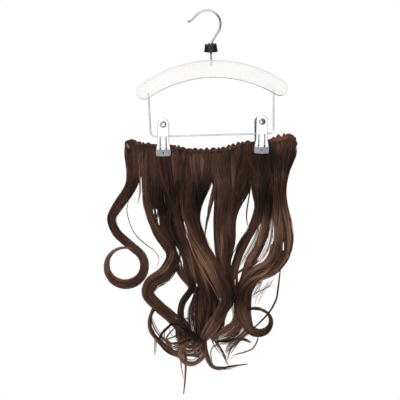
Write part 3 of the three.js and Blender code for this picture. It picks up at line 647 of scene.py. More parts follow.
def thread_look(graph):
    twist = graph.noise(graph.stretched(graph.place(), (1.0, 1.0, 3.0)), 900.0, 2.0)
    return {
        "Base Color": graph.blend(twist, srgb(88, 62, 50), srgb(150, 116, 98)),
        "Roughness": 0.5 + twist * 0.2,
        "Normal": graph.bump(twist, 0.15 * MM, 0.5),
    }


def chrome_look(graph, light, dark, roughness):
    """Polished metal with faint handling marks."""
    smears = graph.smears()
    scratches = graph.noise(graph.stretched(graph.place(), (900.0, 900.0, 60.0)), 1.0, 2.0)
    return {
        "Base Color": graph.blend(graph.between(smears, 0.35, 0.75), dark, light),
        "Metallic": 1.0,
        "Roughness": roughness + smears * 0.08 + scratches * 0.05,
        "Normal": graph.bump(scratches, 0.03 * MM, 0.15),
    }


def hook_look(graph):
    """Polished hook wire with painted light and shade: painted bright on its crown, painted dark on one side
    of it, and painted duller on the straight runs.
    """
    across = graph.parts(graph.place())
    radius = HOOK.radius * MM
    mouth = graph.between(0 - across, 0.4 * radius, 0.8 * radius)
    neck = graph.between(0 - across.other("Z"), radius, 1.4 * radius)
    # Painted light and shade: the crown lighter than the straight runs
    crown = graph.blend(mouth.maths("MAXIMUM", neck), srgb(206, 207, 209), srgb(174, 175, 178))
    return {
        # Painted shade on one side of the crown
        "Base Color": graph.blend(graph.near(HOOK_PAINTED_SHADE) * 0.9, crown, srgb(100, 101, 104)),
        "Metallic": 1.0,
        "Roughness": 0.46 + graph.smears() * 0.1,
    }


def sheet_look(graph):
    """Polished clip plate: bright outside, dull inside, with painted shade on its inner side, along its
    edges, round its eyelet, in its flutes and where the pad covers it.
    """
    spot = graph.parts(graph.node("ShaderNodeUVMap", {"uv_map": "plate"}))
    across, high = spot.maths("ABSOLUTE") * PLAN_SCALE, spot.other("Y") * PLAN_SCALE
    # Painted shade in the flutes
    groove = 1 - graph.between((across - FLUTE.x).maths("ABSOLUTE"), 0.35, FLUTE.width * 0.42)
    groove = groove * (1 - graph.between(high, FLUTE.top - 1, FLUTE.top))
    # Painted shadow where the pad covers the plate
    pad_shadow = 1 - graph.between(high, PAD.top, PAD.top + 1.2)
    # The inside attribute holds painted shade on the inner side, along the edges and round the eyelet
    inside = graph.attribute("inside")
    dark = (groove * 0.8).maths("MAXIMUM", pad_shadow).maths("MAXIMUM", inside * 0.6)
    smears = graph.smears()
    bright = graph.blend(smears, srgb(234, 235, 238), srgb(247, 248, 250))
    return {
        "Base Color": graph.blend(dark, bright, srgb(52, 52, 56)),
        "Metallic": 1.0,
        "Roughness": 0.08 + smears * 0.06 + dark * 0.3,
    }


def moulded_look(graph, light, dark, roughness, gloss):
    """Moulded plastic with a fine grain."""
    place = graph.place()
    grain = graph.noise(place, 700.0, 3.0)
    cloud = graph.noise(place, 60.0, 3.0)
    return {
        "Base Color": graph.blend(graph.between(cloud, 0.3, 0.7), dark, light),
        "Roughness": roughness + grain * 0.15,
        "Specular IOR Level": gloss,
        "Normal": graph.bump(grain, 0.12 * MM, 0.4),
    }


def acrylic_look(graph):
    """Clear acrylic: milky faces, with painted shade on its edges that is darkest below, and a painted warm
    reflection at the right end.
    """
    haze = graph.noise(graph.place(), 22.0, 4.0, 0.6)
    lie = graph.parts(graph.node("ShaderNodeTexCoord", output="Normal"))
    # Painted shade: the edges darker, darkest where they face down
    down = 0 - lie.other("Z")
    below = graph.between(down, -0.3, 0.8)
    # Painted reflection: a warm line on the lower edge near the right end
    painted_reflection = graph.near(ACRYLIC_PAINTED_REFLECTION) * graph.between(down, 0.05, 0.15)
    rim = 1 - graph.between(lie.other("Y").maths("ABSOLUTE") - painted_reflection * 0.2, 0.6, 0.79)
    lower = graph.blend(painted_reflection, (0.12, 0.12, 0.124, 1), (0.16, 0.045, 0.06, 1))
    edge = graph.blend(below, (0.88, 0.88, 0.885, 1), lower)
    face = graph.blend(haze, (0.76, 0.75, 0.744, 1), (0.83, 0.822, 0.816, 1))
    return {
        "Base Color": graph.blend(rim, face, edge),
        "Roughness": 0.1 + haze * 0.12 + rim * 0.25,
        "IOR": 1.49,
        "Alpha": 0.42 + haze * 0.1 + rim * 0.45,
    }


def floor_look(graph):
    mottle = graph.noise(graph.place(), 3.0, 3.0)
    return {
        "Base Color": graph.blend(mottle, (0.8, 0.8, 0.8, 1), (0.86, 0.86, 0.86, 1)),
        "Roughness": 0.6 + mottle * 0.1,
    }


# Mesh helpers

def smooth(value, low, high):
    """0 up to low, 1 from high on, with a soft way between."""
    share = np.clip((value - low) / (high - low), 0, 1)
    return share * share * (3 - 2 * share)


def headings(points):
    """Unit vectors along a chain of points."""
    way = np.gradient(points, axis=0)
    return way / np.linalg.norm(way, axis=1)[:, None]


def added_up(steps):
    """Distances along, from 0, after each step."""
    return np.concatenate(([0], np.cumsum(steps)))


def resampled(values, run, stops):
    """Rows of values known at the distances run, read off at stops."""
    return np.column_stack([np.interp(stops, run, column) for column in values.T])


def new_piece(name, vertices, faces, material):
    mesh = bpy.data.meshes.new(name)
    mesh.from_pydata([tuple(Vector(v) * MM) for v in vertices], [], [tuple(f) for f in faces])
    mesh.materials.append(material)
    piece = bpy.data.objects.new(name, mesh)
    bpy.context.scene.collection.objects.link(piece)
    return piece


def settle(piece):
    """Turns a piece's modifiers into plain mesh."""
    bpy.context.view_layer.update()
    evaluated = piece.evaluated_get(bpy.context.evaluated_depsgraph_get())
    made = bpy.data.meshes.new_from_object(evaluated)
    old = piece.data
    piece.modifiers.clear()
    piece.data = made
    made.name = piece.name
    bpy.data.meshes.remove(old)
    return piece


def face_outwards(piece):
    """Joins points that coincide and turns every face outwards."""
    shape = bmesh.new()
    shape.from_mesh(piece.data)
    bmesh.ops.remove_doubles(shape, verts=shape.verts, dist=1e-6)
    bmesh.ops.recalc_face_normals(shape, faces=shape.faces)
    shape.to_mesh(piece.data)
    shape.free()
    return piece


def smooth_faces(piece, angle=35):
    piece.data.polygons.foreach_set("use_smooth", [True] * len(piece.data.polygons))
    piece.data.set_sharp_from_angle(angle=math.radians(angle))
    return piece


def bevel(piece, width, segments=2):
    modifier = piece.modifiers.new("soft_edges", "BEVEL")
    modifier.width = width * MM
    modifier.segments = segments
    modifier.limit_method = "ANGLE"
    modifier.angle_limit = math.radians(40)
    return settle(piece)


def cut(piece, cutters):
    """Takes the cutters' forms out of a piece and removes the cutters."""
    for cutter in cutters:
        modifier = piece.modifiers.new("cut", "BOOLEAN")
        modifier.operation = "DIFFERENCE"
        modifier.solver = "EXACT"
        modifier.object = cutter
    settle(piece)
    for cutter in cutters:
        bpy.data.objects.remove(cutter)
    return piece


def put(piece, matrix):
    """Moves a piece made in millimetres by a matrix in millimetres."""
    scale = Matrix.Scale(MM, 4)
    piece.data.transform(scale @ matrix @ scale.inverted())
    return piece


def finish(piece, slot, *nodes):
    """Sets a piece on the body, with the CAD nodes that it stands for; its slot is not used."""
    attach(piece, "root")
    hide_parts(*nodes)
    return piece


def grid_faces(rows, columns, wrap):
    """Quads between the rings of a grid of vertices."""
    faces = []
    for row in range(rows - 1):
        for column in range(columns if wrap else columns - 1):
            after = (column + 1) % columns
            low, high = row * columns, (row + 1) * columns
            faces.append((low + column, low + after, high + after, high + column))
    return faces


def tube(name, rings, material):
    """A closed tube through rings of points, with capped ends."""
    rings = np.asarray(rings)
    rows, sides = rings.shape[:2]
    faces = grid_faces(rows, sides, wrap=True)
    faces.append(range(sides - 1, -1, -1))
    faces.append(range((rows - 1) * sides, rows * sides))
    return face_outwards(new_piece(name, rings.reshape(-1, 3), faces, material))


def cylinder(name, start, end, diameter, sides=24):
    """A plain round cutter from start to end."""
    start, end = Vector(start), Vector(end)
    turn = (end - start).to_track_quat("Z", "Y")
    rings = []
    for centre in (start, end):
        angles = np.linspace(0, 2 * math.pi, sides, endpoint=False)
        rings.append([centre + turn @ Vector((math.cos(a), math.sin(a), 0)) * diameter / 2 for a in angles])
    return tube(name, rings, None)


def prism(name, outline, front, back, material):
    """A plate drawn in x and z; front and back give y at each point of the outline."""
    count = len(outline)
    near = [(x, front(x, z), z) for x, z in outline]
    far = [(x, back(x, z), z) for x, z in outline]
    faces = [range(count), range(2 * count - 1, count - 1, -1)]
    faces += [(i, i + count, (i + 1) % count + count, (i + 1) % count) for i in range(count)]
    return face_outwards(new_piece(name, near + far, faces, material))


def arc(centre, radius, start, end, step=3.0):
    """Points of an arc in x and z, in degrees, one every step degrees or so."""
    count = max(2, round(abs(end - start) / step) + 1)
    angles = np.radians(np.linspace(start, end, count))
    return [(centre[0] + radius * math.cos(a), centre[1] + radius * math.sin(a)) for a in angles]


def line_points(start, end, step):
    """Points of a straight line, one every step or so."""
    count = max(2, round(math.dist(start, end) / step) + 1)
    return [tuple(p) for p in np.linspace(start, end, count)]


def wire_piece(name, path, radius_at, material):
    """A round wire bent in the plane of x and z; radius_at gives its radius at a distance from the end."""
    points = [path[0]]
    for point in path[1:]:
        if math.dist(point, points[-1]) > 1e-3:
            points.append(point)
    points = np.array([(x, 0, z) for x, z in points])
    side = np.cross(headings(points), (0, 1, 0))
    left = np.linalg.norm(np.diff(points, axis=0), axis=1)
    left = np.concatenate((np.cumsum(left[::-1])[::-1], [0]))
    angles = np.linspace(0, 2 * math.pi, WIRE_SIDES, endpoint=False)
    radii = np.array([radius_at(distance) for distance in left])
    ring = np.cos(angles)[:, None, None] * side + np.sin(angles)[:, None, None] * np.array((0, 1, 0))
    rings = points[:, None] + (ring * radii[:, None]).transpose(1, 0, 2)
    return smooth_faces(tube(name, rings, material))


# Geometry trees

def geometry_tree(name, **inputs):
    """A tree that takes a shape, named inputs of a kind such as Float, and a material."""
    tree = bpy.data.node_groups.new(name, "GeometryNodeTree")
    for label, kind in {"Geometry": "Geometry", **inputs, "Material": "Material"}.items():
        tree.interface.new_socket(label, in_out="INPUT", socket_type=f"NodeSocket{kind}")
    tree.interface.new_socket("Geometry", in_out="OUTPUT", socket_type="NodeSocketGeometry")
    graph = Graph(tree)
    return tree, graph, graph.node("NodeGroupInput")


def close_tree(graph, shape, given):
    """Ends a tree: smooth faces, instances made real, and the material."""
    smoothed = graph.node("GeometryNodeSetShadeSmooth", None, {"Geometry": shape})
    real = graph.node("GeometryNodeRealizeInstances", None, {"Geometry": smoothed})
    painted = graph.node("GeometryNodeSetMaterial", None, {
        "Geometry": real, "Material": given.other("Material"),
    })
    graph.node("NodeGroupOutput", None, {"Geometry": painted})


def grown(name, guide, tree, values):
    """A plain mesh that a geometry tree makes from a guide mesh."""
    piece = bpy.data.objects.new(name, guide or bpy.data.meshes.new(name))
    bpy.context.scene.collection.objects.link(piece)
    modifier = piece.modifiers.new(tree.name, "NODES")
    modifier.node_group = tree
    for item in tree.interface.items_tree:
        if item.in_out == "INPUT" and item.name in values:
            modifier[item.identifier] = values[item.name]
    return settle(piece)


# Hanger

def board_arcs():
    """The arcs of the board's outline: centre, radius, first and last angle, and the angle of a step."""
    upper_z = BOARD.top - BOARD.upper
    lower_z = BOARD.top - BOARD.height - BOARD.lower
    to_upper = BOARD.upper - BOARD.end
    to_lower = BOARD.lower + BOARD.end
    rise = upper_z - lower_z
    end_z = (to_lower**2 - to_upper**2 + rise**2) / (2 * rise) + lower_z
    end_x = math.sqrt(to_lower**2 - (end_z - lower_z) ** 2)
    upper_angle = math.degrees(math.atan2(end_z - upper_z, end_x))
    lower_angle = math.degrees(math.atan2(end_z - lower_z, end_x))
    return [
        ((STEM_X, upper_z), BOARD.upper, upper_angle, 180 - upper_angle, 1.5),
        ((STEM_X - end_x, end_z), BOARD.end, 180 - upper_angle, 360 - lower_angle, 7),
        ((STEM_X, lower_z), BOARD.lower, 180 - lower_angle, lower_angle, 1.5),
        ((STEM_X + end_x, end_z), BOARD.end, 180 + lower_angle, 360 + upper_angle, 7),
    ]


def bail_leg(hand):
    """Top and foot of the left (-1) or right (1) leg."""
    top = (BAIL.x + hand * BAIL.half_top, BAIL.leg_z)
    foot = (BAIL.x + hand * BAIL.half_foot, BAIL.bar_z)
    return top, foot


def hanger_board(material):
    """The board with rounded edges and the holes for the stem and the bail's legs."""
    outline = [point for shape in board_arcs() for point in arc(*shape)[:-1]]
    half = BOARD.thickness / 2
    board = prism("clear_board", outline, lambda x, z: -half, lambda x, z: half, material)
    low, high = BOARD.top - STEM_HOLE.depth, BOARD.top + STEM_HOLE.over
    holes = [cylinder("stem_hole", (STEM_X, 0, low), (STEM_X, 0, high), STEM_HOLE.diameter)]
    for hand in (-1, 1):
        (top_x, top_z), (foot_x, foot_z) = bail_leg(hand)
        top_z += LEG_HOLE.over
        holes.append(cylinder("leg_hole", (top_x, 0, top_z), (foot_x, 0, foot_z), LEG_HOLE.diameter))
    cut(bevel(board, BOARD_BEVEL.width, BOARD_BEVEL.segments), holes)
    return put(smooth_faces(board), HANGER)


def hook_path():
    """The middle of the hook's wire, from its foot in the board to the bead at its end."""
    centre = Vector((0, HOOK.wire / 2 - HOOK.radius))
    corner = Vector((STEM_X, NECK.corner_z))
    reach = corner - centre
    spread = math.acos(HOOK.radius / reach.length)
    neck_angle = math.degrees(math.atan2(reach.y, reach.x) + spread)
    on_crown = Vector(arc(centre, HOOK.radius, neck_angle, neck_angle)[0])
    neck = on_crown - corner
    neck_turn = math.pi / 2 - math.atan2(neck.y, neck.x)
    stem_top = corner.y - NECK.bend * math.tan(neck_turn / 2)
    mouth_angle = math.radians(HOOK.arc_end)
    mouth = Vector(arc(centre, HOOK.radius, HOOK.arc_end, HOOK.arc_end)[0])
    run = Vector((-math.sin(mouth_angle), math.cos(mouth_angle)))
    mouth_end = mouth + run * HOOK.mouth
    flare_centre = mouth_end + Vector((math.cos(mouth_angle), math.sin(mouth_angle))) * HOOK.flare
    flare_start = HOOK.arc_end + 180
    path = line_points((STEM_X, NECK.foot_z), (STEM_X, stem_top), 4)
    path += arc((STEM_X + NECK.bend, stem_top), NECK.bend, 180, 180 - math.degrees(neck_turn), 6)
    path += line_points(path[-1], on_crown, 4)
    path += arc(centre, HOOK.radius, neck_angle, HOOK.arc_end, 4)
    path += line_points(mouth, mouth_end, 4)
    path += arc(flare_centre, HOOK.flare, flare_start, flare_start - HOOK.flare_turn, 2)
    tip = Vector(path[-1]) - Vector(path[-2])
    path += line_points(path[-1], Vector(path[-1]) + tip.normalized() * HOOK.bead / 2, 0.25)
    return path


def hook_radius(left):
    """The wire's radius at a distance from its end, which is a bead."""
    bead = HOOK.bead / 2
    around = bead**2 - (left - bead) ** 2
    return max(HOOK.wire / 2 if left > bead else HOOK.tip, math.sqrt(max(around, 0)))


def bail_path():
    """The middle of the bail's wire, from the top of one leg to the top of the other."""
    (top_x, top_z), (foot_x, foot_z) = bail_leg(-1)
    down = Vector((foot_x - top_x, foot_z - top_z)).normalized()
    turn = math.pi / 2 - math.atan2(down.x, -down.y)
    trim = BAIL.corner * math.tan(turn / 2)
    leg_end = Vector((foot_x, foot_z)) - down * trim
    corner = (foot_x + trim, foot_z + BAIL.corner)
    half = line_points((top_x, top_z), leg_end, 6)
    half += arc(corner, BAIL.corner, 270 - math.degrees(turn), 270, 6)
    mirrored = [(2 * BAIL.x - x, z) for x, z in reversed(half)]
    return half + line_points(half[-1], mirrored[0], 6) + mirrored


def turned_faces(turns, corners):
    """Quads of a profile turned all the way round."""
    count = turns * corners
    return [[i % count for i in face] for face in grid_faces(turns + 1, corners, wrap=True)]


def hook_cap(material):
    """A turned profile with rounded edges and a lip at its foot, slotted across its top."""
    foot, top, height = CAP.foot / 2, CAP.top / 2, CAP.height
    profile = [(CAP.bore / 2, 0), (foot - 0.6, 0), (foot - 0.15, 0.2), (foot, 0.7)]
    profile += [(foot, CAP.lip - 0.5), (foot - 0.3, CAP.lip), (foot - 0.9, CAP.lip + 0.5)]
    profile += [(top + 0.5, height - 1.6), (top + 0.2, height - 0.6), (top - 0.5, height - 0.1)]
    profile += [(top - 1.2, height), (CAP.bore / 2, height)]
    angles = np.linspace(0, 2 * math.pi, CAP_SIDES, endpoint=False)
    points = [(r * math.cos(a), r * math.sin(a), z) for a in angles for r, z in profile]
    faces = turned_faces(CAP_SIDES, len(profile))
    cap = face_outwards(new_piece("hook_cap_finish", points, faces, material))
    left, right = (CAP_SLOT.x + hand * CAP_SLOT.width / 2 for hand in (-1, 1))
    foot_z, over = height - CAP_SLOT.depth, height + CAP_SLOT.depth
    outline = [(left, foot_z), (right, foot_z), (right, over), (left, over)]
    slot = prism("cap_slot", outline, lambda x, z: -CAP.foot, lambda x, z: CAP.foot, None)
    bevel(cut(cap, [slot]), CAP_BEVEL)
    middle = Matrix.Translation((STEM_X, 0, CAP.top_z - height / 2))
    tipped = middle @ Matrix.Rotation(math.radians(CAP.tip), 4, "X")
    return put(smooth_faces(cap), HANGER @ tipped @ Matrix.Translation((0, 0, -height / 2)))


# Clips

def plate_half_width(z):
    """Half the plate's width at a height: round above, straight, and wider at the jaw."""
    over = z - PLATE.top + PLATE.half
    if z > PLATE.top - PLATE.half:
        return math.sqrt(max(PLATE.half**2 - over**2, PLATE.tip))
    flare = smooth((PLATE.waist - z) / (PLATE.waist - PLATE.flare), 0, 1)
    return PLATE.half + (PLATE.jaw - PLATE.half) * flare


def flute_depth(x, z):
    """How deep the plate is pressed in at a place on it."""
    across = max(0.0, 1 - ((abs(x) - FLUTE.x) / (FLUTE.width / 2)) ** 2)
    foot = smooth(z, *(FLUTE.foot + ease for ease in FLUTE.foot_ease))
    top = smooth(z, *(FLUTE.top + ease for ease in FLUTE.top_ease))
    return FLUTE.depth * math.sqrt(across) * (foot * (1 - top))


def plate_columns():
    """Columns of the plate's mesh as shares of its half width, closest across the flutes."""
    shares = (-1.15, -1, -0.8, -0.4, 0, 0.4, 0.8, 1, 1.15)
    near = [FLUTE.x + FLUTE.width / 2 * share for share in shares]
    half = sorted([0, 1.4, 2.8, *near, 8.2, 9.6, 10.5, PLATE.half])
    return np.array([-x for x in reversed(half[1:])] + half) / PLATE.half


def plate_rows():
    """Heights of the rows of the plate's mesh, closest at the ends of the flutes."""
    shoulder = PLATE.top - PLATE.half
    spans = [
        (PLATE.foot, FLUTE.foot - 3.2, 6), (FLUTE.foot - 2.6, -17, 8), (-15, -2.5, 6),
        (-2, 1, 7), (3, shoulder - 2, 8),
    ]
    turns = np.radians(np.linspace(0, 88, 14))
    heights = [z for span in spans for z in np.linspace(*span)]
    return heights + [shoulder + PLATE.half * math.sin(turn) for turn in turns]


def clip_plate(name, material):
    """A pressed plate with rolled edges, two flutes, holes and an eyelet."""
    heights, shares = plate_rows(), plate_columns()
    front, back = [], []
    for z in heights:
        for share in shares:
            x = share * plate_half_width(z)
            groove = flute_depth(x, z)
            edge = max(0.0, abs(share) - (1 - PLATE_ROLL.width))
            rolled = PLATE_ROLL.depth * edge / PLATE_ROLL.width
            front.append((x, groove + rolled * abs(share) - PLATE.thickness, z))
            back.append((x, groove + rolled * abs(share), z))
    rows, columns = len(heights), len(shares)
    count = rows * columns
    faces = grid_faces(rows, columns, wrap=False)
    faces += [[i + count for i in reversed(face)] for face in faces]
    rim = [row * columns for row in range(rows)]
    rim += [(rows - 1) * columns + column for column in range(1, columns)]
    rim += [row * columns + columns - 1 for row in range(rows - 2, -1, -1)]
    rim += list(range(columns - 2, 0, -1))
    faces += [(a, b, b + count, a + count) for a, b in zip(rim, rim[1:] + rim[:1])]
    plate = face_outwards(new_piece(name, front + back, faces, material))
    mark_plate(plate, count)
    spots = [(0, EYELET.z, EYELET.hole)]
    spots += [(hand * FLUTE.x, FLUTE.foot, FLUTE.hole) for hand in (-1, 1)]
    cut(plate, [cylinder("hole", (x, -DRILL.plate, z), (x, DRILL.plate, z), hole) for x, z, hole in spots])
    return smooth_faces(join(plate, eyelet_ring(material)))


def mark_plate(plate, count):
    """Lays a plan of the plate on its faces, paints shade on its inner side and along its edges, and splits
    it into triangles.
    """
    shape = bmesh.new()
    shape.from_mesh(plate.data)
    plan = shape.loops.layers.uv.new("plate")
    inside = shape.verts.layers.float.new("inside")
    shape.verts.ensure_lookup_table()
    for vertex in shape.verts:
        x, z = vertex.co.x / MM, vertex.co.z / MM
        # Painted shade: full on the inner side, and along the edges fading inwards
        edge = PLATE.half - math.hypot(x, max(0, z - PLATE.top + PLATE.half))
        edge = max(edge, plate_half_width(z) - abs(x)) if z < PLATE.waist else edge
        shade = EDGE_SHADE.level * max(0, 1 - edge / EDGE_SHADE.reach)
        vertex[inside] = 1.0 if vertex.index >= count else shade
        for corner in vertex.link_loops:
            corner[plan].uv = (x / PLAN_SCALE, z / PLAN_SCALE)
    bmesh.ops.triangulate(shape, faces=shape.faces)
    shape.to_mesh(plate.data)
    shape.free()


def eyelet_ring(material):
    """The rolled rim of the eyelet, standing proud of the plate."""
    inner, outer = EYELET.hole / 2 - EYELET.overlap, EYELET.rim / 2
    middle, half = (inner + outer) / 2, (outer - inner) / 2
    base = EYELET.overlap - PLATE.thickness
    turns = np.linspace(0, math.pi, 9)
    profile = [(middle + half * math.cos(t), base - EYELET.height * math.sin(t)) for t in turns]
    profile += [(inner, base + EYELET.root), (outer - EYELET.root, base + EYELET.root)]
    angles = np.linspace(0, 2 * math.pi, EYELET.sides, endpoint=False)
    points = [(r * math.cos(a), y, EYELET.z + r * math.sin(a)) for a in angles for r, y in profile]
    faces = turned_faces(EYELET.sides, len(profile))
    ring = face_outwards(new_piece("eyelet_ring", points, faces, material))
    # Painted shade on the eyelet ring, darker on one side, kept in the inside attribute
    swing = EYELET_SHADE.swing * np.cos(angles + EYELET_SHADE.turn)
    shades = np.repeat(EYELET_SHADE.level + swing, len(profile))
    ring.data.attributes.new("inside", "FLOAT", "POINT").data.foreach_set("value", shades)
    return ring


def join(piece, other):
    """Adds another piece's mesh to a piece."""
    shape = bmesh.new()
    shape.from_mesh(piece.data)
    shape.from_mesh(other.data)
    shape.to_mesh(piece.data)
    shape.free()
    bpy.data.objects.remove(other)
    return piece


def pad_outline():
    half, corner, foot = PAD.half, PAD.corner, PAD.foot
    outline = [(-half, PAD.top)]
    outline += arc((corner - half, foot + corner), corner, 180, 270, 15)
    outline += [(0, foot - PAD.point)]
    outline += arc((half - corner, foot + corner), corner, 270, 360, 15)
    outline += [(half, PAD.top)]
    return outline


def pad_outer(x, z):
    """The pad's outer face, which leans in towards its foot."""
    share = (z - PAD.foot) / (PAD.top - PAD.foot)
    return PAD_Y.outer_foot + share * (PAD_Y.outer_top - PAD_Y.outer_foot)


def clip_pad(name, material):
    """A jaw pad with a slot for the foot of its plate."""
    pad = prism(name, pad_outline(), pad_outer, lambda x, z: PAD_Y.inner, material)
    foot, half = PLATE.foot - PAD_PLAY, PLATE.jaw + PAD_PLAY
    top = 2 * PAD.top - foot
    outline = [(-half, foot), (half, foot), (half, top), (-half, top)]
    front = -PLATE.thickness - PAD_PLAY
    slot = prism("plate_slot", outline, lambda x, z: front, lambda x, z: PAD_PLAY, None)
    middle = (PAD.top + PAD.foot) / 2
    hole = cylinder("pad_hole", (0, -DRILL.pad, middle), (0, 0, middle), PAD.hole)
    return smooth_faces(bevel(cut(pad, [put(slot, PLATE_PLACE), hole]), PAD.bevel))


def spring_tree():
    """A coil spring along X."""
    tree, graph, given = geometry_tree(
        "coil_spring", Radius="Float", Wire="Float", Length="Float", Turns="Float",
    )
    coil = graph.node("GeometryNodeCurveSpiral", None, {
        "Resolution": 28, "Rotations": given.other("Turns"), "Start Radius": given.other("Radius"),
        "End Radius": given.other("Radius"), "Height": given.other("Length"),
    })
    section = graph.node("GeometryNodeCurvePrimitiveCircle", None, {
        "Resolution": 10, "Radius": given.other("Wire"),
    })
    shape = graph.node("GeometryNodeCurveToMesh", None, {0: coil, 1: section, "Fill Caps": True})
    turned = graph.node("GeometryNodeTransform", None, {"Geometry": shape, "Rotation": (0, math.pi / 2, 0)})
    close_tree(graph, turned, given)
    return tree


def clip(side, form, looks, coil):
    """A spring clip on the bar: two plates with their pads, and the coil between them."""
    middle = HANGER @ Matrix.Translation((STEM_X + form["along"], 0, BAIL.bar_z))
    middle = middle @ Matrix.Rotation(HANGER_TILT - math.radians(form["lean"]), 4, "Y")
    back = Matrix.Translation((form["back_shift"], 0, 0))
    back = back @ Matrix.Rotation(math.radians(form["back_lean"]), 4, "Y")
    for face, turn in (("front", Matrix.Identity(4)), ("back", back @ Matrix.Rotation(math.pi, 4, "Z"))):
        place = middle @ turn
        node = f"clip_{side}_{face}"
        plate = clip_plate(f"{node}_plate_finish", looks["plate"])
        finish(put(plate, place @ PLATE_PLACE), "clip_plate", f"{node}_plate")
        pad = clip_pad(f"{node}_pad_finish", looks["pad"])
        finish(put(pad, place), "clip_pad", f"{node}_pad")
    spring = grown(f"clip_{side}_spring_coil", None, coil, {
        "Radius": (SPRING.outer - SPRING.wire) / 2 * MM, "Wire": SPRING.wire / 2 * MM,
        "Length": (SPRING.length - SPRING.wire) * MM, "Turns": float(SPRING.turns),
        "Material": looks["spring"],
    })
    centre = Matrix.Translation(((SPRING.wire - SPRING.length) / 2, 0, 0))
    finish(put(spring, middle @ centre), "clip_spring", f"clip_{side}_spring")


# Weft

def weft_line(x):
    """Height of the weft's top edge between gathers, at a distance across."""
    across, drops = zip(*WEFT_LINE)
    x = np.clip(x, across[0], across[-1])
    at = np.clip(np.searchsorted(across, x, side="right") - 1, 0, len(across) - 2)
    across, drops = np.array(across), np.array(drops)
    share = smooth(x, across[at], across[at + 1])
    return WEFT_Z - drops[at] - share * (drops[at + 1] - drops[at])


def weft_plan():
    """The weft seen from above, both ends turned back: points and the distance along."""
    inset = BAND.thickness / 2 + SCALLOP.ripple
    turn, back = WEFT_END.turn, WEFT_END.back
    left, right = WEFT_LINE[0][0] + inset + turn, WEFT_LINE[-1][0] - inset - turn
    step = BAND.step
    path = line_points((left + back, 2 * turn), (left, 2 * turn), step)
    path += arc((left, turn), turn, 90, 270, 9)[1:]
    path += line_points((left, 0), (right, 0), step)[1:]
    path += arc((right, turn), turn, -90, 90, 9)[1:]
    path += line_points((right, 2 * turn), (right - back, 2 * turn), step)[1:]
    points = np.array(path)
    return points, added_up(np.linalg.norm(np.diff(points, axis=0), axis=1))


def clip_across(form):
    """A clip's distance across, with the hanger tilted."""
    return (STEM_X + form["along"]) * math.cos(HANGER_TILT) - BAIL.bar_z * math.sin(HANGER_TILT)


def looseness(x):
    """0 where a clip pinches the weft flat and at its plain left end, 1 where it is gathered."""
    away = [np.abs(x - clip_across(form)) - PINCH.half for form in CLIPS.values()]
    away.append(x - WEFT_LINE[0][0] - WEFT_END.plain)
    return smooth(np.min(away, axis=0), 0, PINCH.ease)


def weft_gathers():
    """Stations along the weft: place, sideways direction, scallop height and ripple."""
    points, distance = weft_plan()
    heading = headings(points)
    sideways = np.column_stack((-heading[:, 1], heading[:, 0]))
    count = round(distance[-1] / SCALLOP.pitch)
    draw = np.random.default_rng(SEED)
    widths = draw.uniform(*SCALLOP.widths, count)
    widths[-SCALLOP.right_count:] *= SCALLOP.right_width
    bounds = added_up(widths)
    bounds *= distance[-1] / bounds[-1]
    number = np.clip(np.searchsorted(bounds, distance, side="right") - 1, 0, count - 1)
    share = (distance - bounds[number]) / np.diff(bounds)[number]
    loose = looseness(points[:, 0])
    peak = np.sin(math.pi * np.clip(share, 0, 1)) ** draw.uniform(*SCALLOP.points, count)[number]
    height = SCALLOP.height * (1 + SCALLOP.right_rise * smooth(points[:, 0], *SCALLOP.right_x))
    rise = height * peak * loose * draw.uniform(*SCALLOP.rises, count)[number]
    ripple = -0.5 * SCALLOP.ripple * np.cos(2 * math.pi * share) * loose
    return points, sideways, rise, ripple


def weft_band(material):
    """The tape, folded over the roots of the hair: closed above, open below."""
    points, sideways, rise, ripple = weft_gathers()
    line = weft_line(points[:, 0])
    half, belly, rim = BAND.thickness / 2, BAND.belly, BAND.round
    inner = half - BAND.wall
    tallest = SCALLOP.height * SCALLOP.rises[1]
    turns = np.linspace(0, math.pi, 7)
    rings = []
    for (x, y), (across, deep), top, wave, z in zip(points, sideways, rise, ripple, line):
        foot, roof = z - BAND.height, z - BAND.crown
        bulge, shoulder = z - BAND_DROP.belly, z - BAND_DROP.shoulder
        thin = half - rim * top / tallest
        section = [(-half, foot), (-half - belly, bulge), (-half, shoulder)]
        section += [(-thin * math.cos(t), z + top - rim + rim * math.sin(t)) for t in turns]
        section += [(half, shoulder), (half + belly, bulge), (half, foot)]
        section += [(inner, foot), (inner, roof), (-inner, roof), (-inner, foot)]
        rings.append([(x + across * (o + wave), y + deep * (o + wave), height) for o, height in section])
    return smooth_faces(tube("weft_tape", rings, material), angle=50)


def stitch_tree():
    """Stitches along a line, each a short bead of thread."""
    tree, graph, given = geometry_tree(
        "stitch_row", Pitch="Float", Length="Float", Thread="Float", Slant="Float",
    )
    line = graph.node("GeometryNodeMeshToCurve", None, {"Mesh": given})
    spots = graph.node("GeometryNodeCurveToPoints", {"mode": "LENGTH"}, {
        "Curve": line, "Length": given.other("Pitch"),
    })
    bead = graph.node("GeometryNodeMeshUVSphere", None, {"Segments": 8, "Rings": 6, "Radius": 0.5})
    size = graph.node("ShaderNodeCombineXYZ", None, {
        0: given.other("Thread"), 1: given.other("Thread"), 2: given.other("Length"),
    })
    bead = graph.node("GeometryNodeTransform", None, {"Geometry": bead, "Scale": size})
    heading = graph.node("FunctionNodeAlignEulerToVector", {"axis": "Z"}, {"Vector": spots.other("Tangent")})
    slant = graph.node("ShaderNodeCombineXYZ", None, {1: given.other("Slant")})
    turned = graph.node("FunctionNodeRotateEuler", {"space": "OBJECT"}, {0: heading, "Rotate By": slant})
    rows = graph.node("GeometryNodeInstanceOnPoints", None, {
        "Points": spots, "Instance": bead, "Rotation": turned,
    })
    close_tree(graph, rows, given)
    return tree


